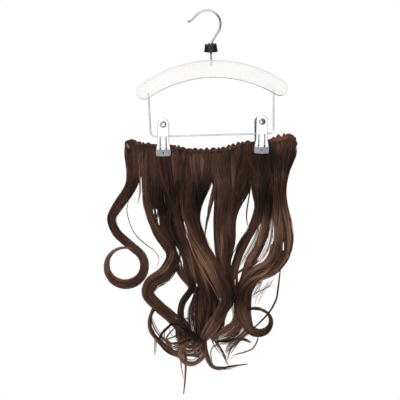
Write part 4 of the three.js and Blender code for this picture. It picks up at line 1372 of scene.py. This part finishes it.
def stitch_guide():
    """The two lines that the stitches follow, in front of the tape and behind it."""
    points, sideways, _, ripple = weft_gathers()
    height = weft_line(points[:, 0]) - STITCH.drop
    edge = BAND.thickness / 2 + STITCH.proud
    guide = bpy.data.meshes.new("stitch_line")
    vertices, edges = [], []
    for hand in (-1, 1):
        start = len(vertices)
        spots = points + sideways * (hand * edge + ripple)[:, None]
        vertices += [(x * MM, y * MM, z * MM) for (x, y), z in zip(spots, height)]
        edges += [(i, i + 1) for i in range(start, len(vertices) - 1)]
    guide.from_pydata(vertices, edges, [])
    return guide


# Hair

def through_points(points, share):
    """A smooth curve through points, at shares of the way from 0 to 1."""
    points = np.vstack((2 * points[0] - points[1], points, 2 * points[-1] - points[-2]))
    spans = len(points) - 3
    at = np.clip(share, 0, 1) * spans
    span = np.minimum(at.astype(int), spans - 1)
    t = (at - span)[:, None]
    four = [points[span + i] for i in range(4)]
    before, start, end, after = four
    first, second, third = [np.sqrt(np.linalg.norm(b - a, axis=1))[:, None] for a, b in zip(four, four[1:])]
    slope = (end - start) / second
    leave = ((start - before) / first - (end - before) / (first + second) + slope) * second
    arrive = (slope - (after - start) / (second + third) + (after - end) / third) * second
    return (
        start
        + t * leave
        + t**2 * (3 * (end - start) - 2 * leave - arrive)
        + t**3 * (2 * (start - end) + leave + arrive)
    )


def swelled(run, loose):
    """0 where the weft holds a lock flat, 1 where the lock has its full form."""
    return 1 if loose else smooth(run, ROOT.hold, ROOT.hold + ROOT.swell)


def lock_thickness(width, run, loose):
    """How thick a lock is from front to back."""
    full = np.minimum(width * FLATNESS + THINNEST, THICKEST)
    root = np.minimum(ROOT.thickness, full)
    return root + (full - root) * swelled(run, loose)


def lock_body(form):
    """The middle line, width and thickness of a lock between its root and its curl."""
    rows = np.array(form["rows"], float)
    loose = form.get("loose", False)
    run = added_up(np.hypot(*np.diff(rows[:, :2], axis=0).T))
    swing = form["sway"] * np.sin(2 * math.pi * run / WAVE_LENGTH + form["phase"])
    depth = swelled(run, loose) * (form["depth"] + swing)
    points = np.column_stack((rows[:, 0], depth, WEFT_Z - rows[:, 1]))
    share = np.linspace(0, 1, round(run[-1]))
    width = np.interp(share * (len(rows) - 1), np.arange(len(rows)), rows[:, 2])
    return through_points(points, share), width, lock_thickness(width, share * run[-1], loose)


def lock_curl(line, width, curl):
    """The spiral that goes on from the end of a lock."""
    heading = (line[-1] - line[-2]) * (1, 0, 1)
    heading /= np.linalg.norm(heading)
    inward = np.array((heading[2], 0, -heading[0])) * curl["way"]
    share = np.linspace(0, 1, round(2 * math.pi * curl["radius"] * curl["turns"]))[1:]
    turn = (2 * math.pi * curl["turns"] * share)[:, None]
    spiral = line[-1] + inward * curl["radius"] * (1 - np.cos(turn)) + heading * curl["radius"] * np.sin(turn)
    spiral[:, 1] += curl["advance"] * share
    full = width * (CURL.start + (curl["swell"] - CURL.start) * np.minimum(2 * share, 1))
    wide = full + (curl["tip"] - full) * smooth(share, *CURL.thinning)
    return spiral, wide, lock_thickness(wide, 0, True)


def lock_spine(form):
    """Stations down a lock: middle, half width and half thickness as vectors, and the distance run."""
    line, width, thickness = lock_body(form)
    lengths = [(line, width, thickness)]
    if not form.get("loose"):
        root = (line[0][0], 0, weft_line(line[0][0]) - ROOT.tuck)
        lead = np.array(line_points(root, line[0], 1.0))[:-1]
        lengths.insert(0, (lead, np.full(len(lead), width[0]), np.full(len(lead), thickness[0])))
    if "curl" in form:
        lengths.append(lock_curl(line, width[-1], form["curl"]))
    line, width, thickness = (np.concatenate(values) for values in zip(*lengths))
    heading = headings(line)
    side = np.cross(heading, (0, 1, 0))
    side /= np.linalg.norm(side, axis=1)[:, None]
    face = np.cross(heading, side)
    steps = np.linalg.norm(np.diff(line, axis=0), axis=1)
    run = added_up(steps)
    bend = np.linalg.norm(np.diff(heading, axis=0), axis=1)
    effort = added_up(np.maximum(steps / STRAND.step, bend / STRAND.turn))
    stops = np.interp(np.linspace(0, effort[-1], round(effort[-1]) + 1), effort, run)
    if not form.get("loose"):
        width = width * (1 + ROOT.widen * (1 - smooth(run, 0, ROOT.widen_end)))
    vectors = (line, side * width[:, None] / 2, face * thickness[:, None] / 2)
    return *(resampled(values, run, stops) for values in vectors), stops


def wisp_count(across, through):
    """How many wisps lie round a lock."""
    perimeter = 2 * math.pi * np.sqrt(((across**2).sum(1) + (through**2).sum(1)) / 2)
    return max(WISP.fewest, round(float(perimeter.mean()) / WISP.width))


def painted_light_and_shade(line):
    """How much lighter or darker the painted highlights and shade make the hair at points of a line."""
    level = np.zeros(len(line))
    for x, drop, reach, amount in LIGHT_AND_SHADE_PATCHES:
        away = np.hypot(line[:, 0] - x, line[:, 2] - WEFT_Z + drop) / reach
        level += amount * np.exp(-(away**2))
    return level


def fray_start(form):
    """The share of a lock's length where its ends begin to part."""
    return form.get("fray", WISP.curl_fray if "curl" in form else WISP.fray)


def draw_into_weft(line, run):
    """Brings the start of a line up into the weft above it and gives how free each point of it is."""
    near = 1 - smooth(run, 0, ROOT.settle)
    inner = np.clip(line[0][0], WEFT_LINE[0][0] + ROOT.inset, WEFT_LINE[-1][0] - ROOT.inset)
    line[:, 0] += (inner - line[0][0]) * near
    line[:, 2] += (weft_line(inner) - ROOT.tuck - line[0][2]) * near
    free = smooth(run, *ROOT.free)
    line[:, 1] *= ROOT.depth + (1 - ROOT.depth) * free
    return free


def flat_root(vectors, free):
    """Keeps a wisp as thin as the weft where it starts."""
    same = np.ones(len(free))
    return vectors * np.column_stack((same, ROOT.flat + (1 - ROOT.flat) * free, same))


def lock_wisps(form, draw):
    """Guides of the wisps that lie round a lock."""
    middle, across, through, run = lock_spine(form)
    share = run / run[-1]
    count = wisp_count(across, through)
    slimmer = np.minimum(np.linalg.norm(across, axis=1), np.linalg.norm(through, axis=1))
    depth = WISP.depth * slimmer + WISP.least
    shortest = form.get("shortest", WISP.shortest)
    wisps = []
    for number in range(count):
        angle = 2 * math.pi * (number + draw.uniform(-WISP.jitter, WISP.jitter)) / count
        amount = draw.uniform(*WANDER.angle)
        wander = amount * np.sin(2 * math.pi * run / draw.uniform(*WANDER.length) + draw.uniform(*PHASES))
        angles = (angle + wander * smooth(run, *WANDER.run))[:, None]
        out = across * np.cos(angles) + through * np.sin(angles)
        along = through * np.cos(angles) - across * np.sin(angles)
        splay = 1 + draw.uniform(*WISP.splay) * smooth(share, fray_start(form), 1)
        line = middle + out * draw.uniform(*WISP.out) * splay[:, None]
        free = np.ones(len(run)) if form.get("loose") else draw_into_weft(line, run)
        end = 1 - (1 - shortest) * WISP.early * draw.uniform(0, 1) ** 2
        taper = (1 - WISP.thin * smooth(share / end, fray_start(form), 1))[:, None]
        normal = out / np.maximum(np.linalg.norm(out, axis=1), 1e-6)[:, None]
        keep = share <= end
        wisps.append({
            "line": line[keep],
            "spread": flat_root(along * math.pi / count * WISP.overlap * taper, free)[keep],
            "rise": flat_root(normal * depth[:, None] * taper, free)[keep],
            "run": share[keep],
            "shade": draw.normal(form.get("tint", 0), WISP.tone) + painted_light_and_shade(line[keep]),
            "strands": WISP.strands,
            "shortest": shortest,
            "loose": float(form.get("loose", False)),
        })
    return wisps


def bridge_wisps(first, second, start, end, draw):
    """Guides of wisps that leave one lock and lie in the next from then on."""
    middle, across, through, run = lock_spine(LOCKS[first])
    *others, other_run = lock_spine(LOCKS[second])
    keep = run <= min(run[-1], other_run[-1]) * BRIDGE.length
    run = run[keep]
    goal = [resampled(values, other_run, run) for values in others]
    way = smooth(run, start, end)[:, None]
    wide = np.linalg.norm(across[keep], axis=1)[:, None] * BRIDGE.width
    taper = 1 - WISP.thin * smooth(run / run[-1], BRIDGE.fray, 1)[:, None]
    wisps = []
    for _ in range(BRIDGE.wisps):
        angle = math.pi * draw.uniform(*BRIDGE.angle) * draw.choice(BRIDGE.faces)
        turn = np.array((math.cos(angle), math.sin(angle))) * BRIDGE.out
        leave = middle[keep] + across[keep] * turn[0] + through[keep] * turn[1]
        line = leave + (goal[0] + goal[1] * turn[0] + goal[2] * turn[1] - leave) * way
        free = draw_into_weft(line, run)
        wisps.append({
            "line": line,
            "spread": taper * wide * (1, 0, 0),
            "rise": flat_root(taper * (0, -BRIDGE.rise, 0), free),
            "run": run / run[-1] * BRIDGE.length,
            "shade": draw.normal(0, WISP.tone) + painted_light_and_shade(line),
            "strands": WISP.strands,
            "shortest": BRIDGE.shortest,
            "loose": 0.0,
        })
    return wisps


def stray_wisp(row, draw):
    """The guide of a thin wisp that leaves the locks."""
    start_y, end_y, width, strands, tint, way = row
    depths = np.interp(np.linspace(0, 1, len(way)), (0, STRAY.settled), (start_y, end_y))
    points = np.array([(x, y, WEFT_Z - drop) for (x, drop), y in zip(way, depths)])
    share = np.linspace(0, 1, STRAY.stations * len(points))
    line = through_points(points, share)
    line[:, 1] += STRAY.sway * np.sin(STRAY.waves * share + draw.uniform(*PHASES))
    side = np.cross(headings(line), (0, 1, 0))
    full = np.sin(math.pi * np.clip(STRAY.lead + STRAY.arch * share, 0, 1))[:, None]
    taper = (STRAY.end + (1 - STRAY.end) * full) * width / 2
    return {
        "line": line,
        "spread": side * taper,
        "rise": taper * (0, -STRAY.rise, 0),
        "run": STRAY.first_run + (1 - STRAY.first_run) * share,
        "shade": draw.normal(tint, STRAY.tone) + painted_light_and_shade(line),
        "strands": strands,
        "shortest": STRAY.shortest,
        "loose": 1.0,
    }


def guide_mesh(name, wisps):
    """Guides as chains of edges, root first, with what each strand needs on their points."""
    guide = bpy.data.meshes.new(name)
    each = {label: [wisp[label] for wisp in wisps] for label in wisps[0]}
    sizes = [len(line) for line in each["line"]]
    starts = np.cumsum([0] + sizes)
    edges = [(i, i + 1) for low, high in zip(starts, starts[1:]) for i in range(low, high - 1)]
    guide.from_pydata((np.vstack(each["line"]) * MM).tolist(), edges, [])
    columns = {
        "spread": ("FLOAT_VECTOR", np.vstack(each["spread"]) * MM),
        "rise": ("FLOAT_VECTOR", np.vstack(each["rise"]) * MM),
        "run": ("FLOAT", np.concatenate(each["run"])),
        "shade": ("FLOAT", np.concatenate(each["shade"])),
        "shortest": ("FLOAT", np.repeat(each["shortest"], sizes)),
        "loose": ("FLOAT", np.repeat(each["loose"], sizes)),
        "strands": ("INT", np.repeat(each["strands"], sizes)),
        "wisp": ("INT", np.repeat(np.arange(len(wisps)), sizes)),
    }
    for label, (kind, values) in columns.items():
        values = values.astype(np.int32 if kind == "INT" else np.float32)
        column = guide.attributes.new(label, kind, "POINT").data
        column.foreach_set("vector" if values.ndim == 2 else "value", values.ravel())
    return guide


def strand_tree():
    """Strands along guide wisps: each takes its own place in the wisp, its own frizz, length and tint."""
    tree, graph, given = geometry_tree("hair_strands", Radius="Float", Frizz="Float", Seed="Int")
    lines = graph.node("GeometryNodeMeshToCurve", None, {"Mesh": given})
    copies = graph.node("GeometryNodeDuplicateElements", {"domain": "SPLINE"}, {
        "Geometry": lines, "Amount": graph.named("strands", "INT"),
    })
    strand = graph.named("wisp", "INT") * NUMBERS_PER_WISP + copies.other("Duplicate Index")
    run = graph.named("run")

    def chance(low, high, salt):
        """A random number for each strand, another one for each salt."""
        inputs = {2: low, 3: high, "ID": strand, "Seed": given.other("Seed") + salt}
        return graph.node("FunctionNodeRandomValue", {"data_type": "FLOAT"}, inputs, output=1)

    angle = chance(0.0, 2 * math.pi, 1)
    reach = chance(STRAND_FORM.inmost, 1.0, 2) ** 0.5
    across = graph.named("spread", "FLOAT_VECTOR").scaled(reach * angle.maths("COSINE"))
    out = graph.named("rise", "FLOAT_VECTOR").scaled(reach * angle.maths("SINE"))
    length = graph.node("GeometryNodeSplineParameter", output="Length")
    spot = graph.node("ShaderNodeCombineXYZ", None, {
        0: length * STRAND_WAVER.per_metre,
        1: chance(-STRAND_WAVER.shift, STRAND_WAVER.shift, 3),
        2: strand * STRAND_WAVER.apart,
    })
    waver = graph.noise(spot, 1.0, 1.0, output="Color").moved((-0.5, -0.5, -0.5))
    growing = graph.between(run, 0.02, 1.0, STRAND_WAVER.root, 1.0)
    waver = waver.scaled(given.other("Frizz") * growing * chance(*STRAND_WAVER.amounts, 4))
    offset = across.moved(out).moved(waver)
    laid = graph.node("GeometryNodeSetPosition", None, {"Geometry": copies, "Offset": offset})
    end = 1 - (1 - graph.named("shortest")) * chance(0.0, 1.0, 5) ** STRAND_FORM.short_power
    trimmed = graph.node("GeometryNodeTrimCurve", {"mode": "FACTOR"}, {"Curve": laid, 3: end})
    # Each strand's tint: its wisp's tone with the painted highlights and shade, and a little of its own
    tint = graph.named("shade") + chance(-STRAND_TONE, STRAND_TONE, 6)
    tinted = graph.stored(trimmed, "tint", "FLOAT", tint)
    numbered = graph.stored(tinted, "strand", "INT", strand)
    factor = graph.node("GeometryNodeSplineParameter", output="Factor")
    short = 1 - graph.between(factor, 0.0, STRAND_FORM.start)
    start = 1 - STRAND_FORM.start_thin * graph.named("loose") * short
    end = 1 - STRAND_FORM.end_thin * factor**STRAND_FORM.end_power
    thick = given.other("Radius") * end * start * chance(*STRAND_FORM.sizes, 7)
    section = graph.node("GeometryNodeCurvePrimitiveCircle", None, {"Resolution": 3, "Radius": 1.0})
    shape = graph.node("GeometryNodeCurveToMesh", None, {
        0: numbered, 1: section, "Scale": thick, "Fill Caps": True,
    })
    close_tree(graph, shape, given)
    return tree


def hair_strands(name, wisps, tree, material, seed, parted=True):
    """One piece with the strands of all its wisps."""
    piece = grown(name, guide_mesh(name, wisps), tree, {
        "Radius": STRAND.radius * MM, "Frizz": STRAND.frizz * MM, "Seed": seed, "Material": material,
    })
    if parted:
        part_hair(piece)
    for label in ("spread", "rise", "shade", "shortest", "loose", "strands", "wisp", "strand"):
        if label in piece.data.attributes:
            piece.data.attributes.remove(piece.data.attributes[label])
    return finish(piece, "hair", "hair")


def parting_lines():
    """Each parting's start, its direction as a share of its length, its sideways direction and half width."""
    for start, end, half in PARTINGS:
        start, end = (np.array((x, WEFT_Z - drop)) for x, drop in (start, end))
        length = np.linalg.norm(end - start)
        along = (end - start) / length
        yield start, along / length, np.array((along[1], -along[0])), half


def part_hair(piece):
    """Pushes each strand aside from the partings that it runs beside. Strands that cross one stay."""
    places = np.empty(len(piece.data.vertices) * 3, np.float32)
    piece.data.vertices.foreach_get("co", places)
    places = places.reshape(-1, 3) / MM
    strands = np.empty(len(places), np.int32)
    piece.data.attributes["strand"].data.foreach_get("value", strands)
    strands = np.unique(strands, return_inverse=True)[1]
    for start, along, side, half in parting_lines():
        offset = places[:, (0, 2)] - start
        share, away = offset @ along, offset @ side
        beside = (share > 0) & (share < 1) & (np.abs(away) < PARTING.reach)
        near, size = strands[beside], strands.max() + 1
        lean = np.bincount(near, away[beside], size)
        total = np.bincount(near, np.abs(away[beside]), size)
        wide = total > PARTING.crossing * np.bincount(near, None, size)
        beside &= ~(wide & (np.abs(lean) < PARTING.steady * total))[strands]
        hand = np.where(lean < 0, -1, 1)[strands]
        room = half * np.sin(math.pi * np.clip(share, 0, 1))
        gap = room + np.maximum(hand * away, 0) * (1 - room / PARTING.reach)
        places[:, (0, 2)] += (beside * (hand * gap - away))[:, None] * side
    piece.data.vertices.foreach_set("co", (places * MM).ravel())


def clear_partings(rings, middle, across, apart):
    """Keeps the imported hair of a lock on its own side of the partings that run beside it."""
    for start, along, side, half in parting_lines():
        offset = rings[:, :, (0, 2)] - start
        share = offset @ along
        centre = middle[:, (0, 2)] - start
        beside = np.abs(centre @ along - 0.5) < 0.5
        reach = np.linalg.norm(across[beside], axis=1).sum()
        lean = (centre[beside] @ side).sum()
        if abs(lean) < apart * reach or not beside.any():
            continue
        hand = np.sign(lean)
        room = (half + CORE.margin) * np.sin(math.pi * np.clip(share, 0, 1))
        short = np.maximum(room - hand * (offset @ side), 0) * (np.abs(share - 0.5) < 0.5)
        rings[:, :, (0, 2)] += hand * short[:, :, None] * side


def hair_core(material, draw):
    """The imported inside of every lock, ridged along its wisps and thinning out before the ends."""
    vertices, faces, marks = [], [], []
    sides = CORE.sides
    angles = np.linspace(0, 2 * math.pi, sides, endpoint=False)
    for form in LOCKS.values():
        if form.get("loose"):
            continue
        spine, breadth, through, run = lock_spine(form)
        share = run / run[-1]
        ridges = wisp_count(breadth, through)
        start = draw.uniform(*PHASES)
        thin = 1 - CORE.thin * smooth(share, fray_start(form) - CORE.before_fray, CORE.end)
        scale = CORE.share * thin[:, None] * (1 + CORE.ridge * np.sin(ridges * angles + start))
        for hand in form.get("halves", (0,)):
            middle = spine + hand * HALF_CORE.at * breadth
            across = breadth * (HALF_CORE.share if hand else 1)
            rings = middle[:, None] + (np.cos(angles) * scale)[:, :, None] * across[:, None]
            rings += (np.sin(angles) * scale)[:, :, None] * through[:, None]
            clear_partings(rings, middle, across, HALF_CORE.apart if hand else CORE.apart)
            first = len(vertices)
            vertices += rings.reshape(-1, 3).tolist()
            marks += [(i / sides, distance / PLAN_SCALE) for distance in run for i in range(sides)]
            faces += [[i + first for i in face] for face in grid_faces(len(middle), sides, wrap=True)]
            faces.append(range(first + sides - 1, first - 1, -1))
            faces.append(range(len(vertices) - sides, len(vertices)))
    piece = new_piece("hair_core", vertices, faces, material)
    layer = piece.data.uv_layers.new(name="lock")
    corners = np.zeros(len(piece.data.loops), np.int32)
    piece.data.loops.foreach_get("vertex_index", corners)
    layer.data.foreach_set("uv", np.array(marks, np.float32)[corners].ravel())
    face_outwards(piece)
    return finish(smooth_faces(piece, angle=80), "hair", "hair")


def make_hair():
    draw = np.random.default_rng(SEED)
    material = new_material("brown_hair", hair_look)
    tree = strand_tree()
    for seed, (name, locks) in enumerate(HAIR_PIECES.items(), SEED):
        wisps = [wisp for lock in locks for wisp in lock_wisps(LOCKS[lock], draw)]
        hair_strands(name, wisps, tree, material, seed)
    bridges = [wisp for bridge in BRIDGES for wisp in bridge_wisps(*bridge, draw)]
    hair_strands("hair_bridges", bridges, tree, material, BRIDGE_SEED)
    outside = {"hair_strays": STRAYS, "hair_tangle": TANGLE, "hair_flyaways": FLYAWAYS}
    for seed, (name, rows) in enumerate(outside.items(), STRAY_SEED):
        wisps = [stray_wisp(row, draw) for row in rows.values()]
        hair_strands(name, wisps, tree, material, seed, parted=rows is not FLYAWAYS)
    hair_core(new_material("packed_hair", core_look), draw)


def make_weft():
    finish(weft_band(new_material("weft_tape", weft_look)), "weft", "weft_band")
    stitches = grown("weft_stitches", stitch_guide(), stitch_tree(), {
        "Pitch": STITCH.pitch * MM, "Length": STITCH.length * MM, "Thread": STITCH.thread * MM,
        "Slant": STITCH.slant, "Material": new_material("weft_thread", thread_look),
    })
    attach(stitches, "root")


def make_hanger():
    chrome = new_material("chrome_wire", chrome_look, srgb(226, 227, 229), srgb(204, 206, 210), 0.3)
    finish(hanger_board(new_material("clear_acrylic", acrylic_look)), "clear_board", "hanger_body")
    hook = wire_piece("hook_wire", hook_path(), hook_radius, new_material("chrome_hook", hook_look))
    finish(put(hook, HANGER), "wire", "hook")
    bail = wire_piece("bail_wire", bail_path(), lambda left: BAIL.wire / 2, chrome)
    finish(put(bail, HANGER), "wire", "bail")
    black = new_material("black_cap", moulded_look, srgb(17, 17, 19), srgb(8, 8, 9), 0.36, 0.42)
    finish(hook_cap(black), "cap", "hook_cap")


def make_clips():
    looks = {
        "plate": new_material("chrome_sheet", sheet_look),
        "spring": new_material("spring_steel", chrome_look, srgb(205, 207, 210), srgb(160, 162, 166), 0.16),
        "pad": new_material("grey_pad", moulded_look, srgb(137, 138, 142), srgb(118, 119, 123), 0.5, 0.5),
    }
    coil = spring_tree()
    for side, form in CLIPS.items():
        clip(side, form, looks, coil)


# Studio

def make_world():
    """White behind the object. The light that reaches it comes from the front, the top and the back."""
    world = bpy.data.worlds.new("studio")
    bpy.context.scene.world = world
    world.use_nodes = True
    world.node_tree.nodes.clear()
    graph = Graph(world.node_tree)
    way = graph.parts(graph.node("ShaderNodeTexCoord", output="Generated"))
    deep, high = way.other("Y"), way.other("Z")
    front = graph.between(0 - deep, 0.45, 0.95, 0.0, 1.1)
    above = graph.between(high, 0.2, 0.95, 0.0, 0.4)
    behind = graph.between(deep, 0.8, 0.95, 0.0, 0.95)
    glow = 0.1 + front.maths("MAXIMUM", above).maths("MAXIMUM", behind)
    seen = graph.node("ShaderNodeLightPath", output="Is Camera Ray")
    level = glow + (1 - glow) * seen
    shade = graph.node("ShaderNodeBackground", None, {"Color": (1, 1, 1, 1), "Strength": level})
    graph.node("ShaderNodeOutputWorld", None, {"Surface": shade})


def area_light(name, form):
    light = bpy.data.lights.new(name, "AREA")
    light.shape = "DISK"
    light.size = form["size"]
    light.energy = form["power"]
    lamp = bpy.data.objects.new(name, light)
    lamp.location = form["at"]
    lamp.visible_glossy = form["mirrored"]
    lamp.rotation_euler = (LIGHT_AIM - lamp.location).to_track_quat("-Z", "Y").to_euler()
    bpy.context.scene.collection.objects.link(lamp)


def make_studio():
    make_world()
    for name, form in LIGHTS.items():
        area_light(name, form)
    half, z = FLOOR_HALF / MM, FLOOR_Z / MM
    corners = [(-half, -half, z), (half, -half, z), (half, half, z), (-half, half, z)]
    new_piece("floor", corners, [(0, 1, 2, 3)], new_material("studio_floor", floor_look))
    bpy.context.scene.view_settings.view_transform = "Standard"


def make_camera():
    lens = bpy.data.cameras.new("camera")
    lens.lens = CAMERA_LENS
    camera = bpy.data.objects.new("camera", lens)
    camera.location = CAMERA_AT
    camera.rotation_euler = (math.pi / 2, 0, 0)
    bpy.context.scene.collection.objects.link(camera)
    bpy.context.scene.camera = camera


make_camera()
make_studio()
make_hanger()
make_clips()
make_weft()
make_hair()
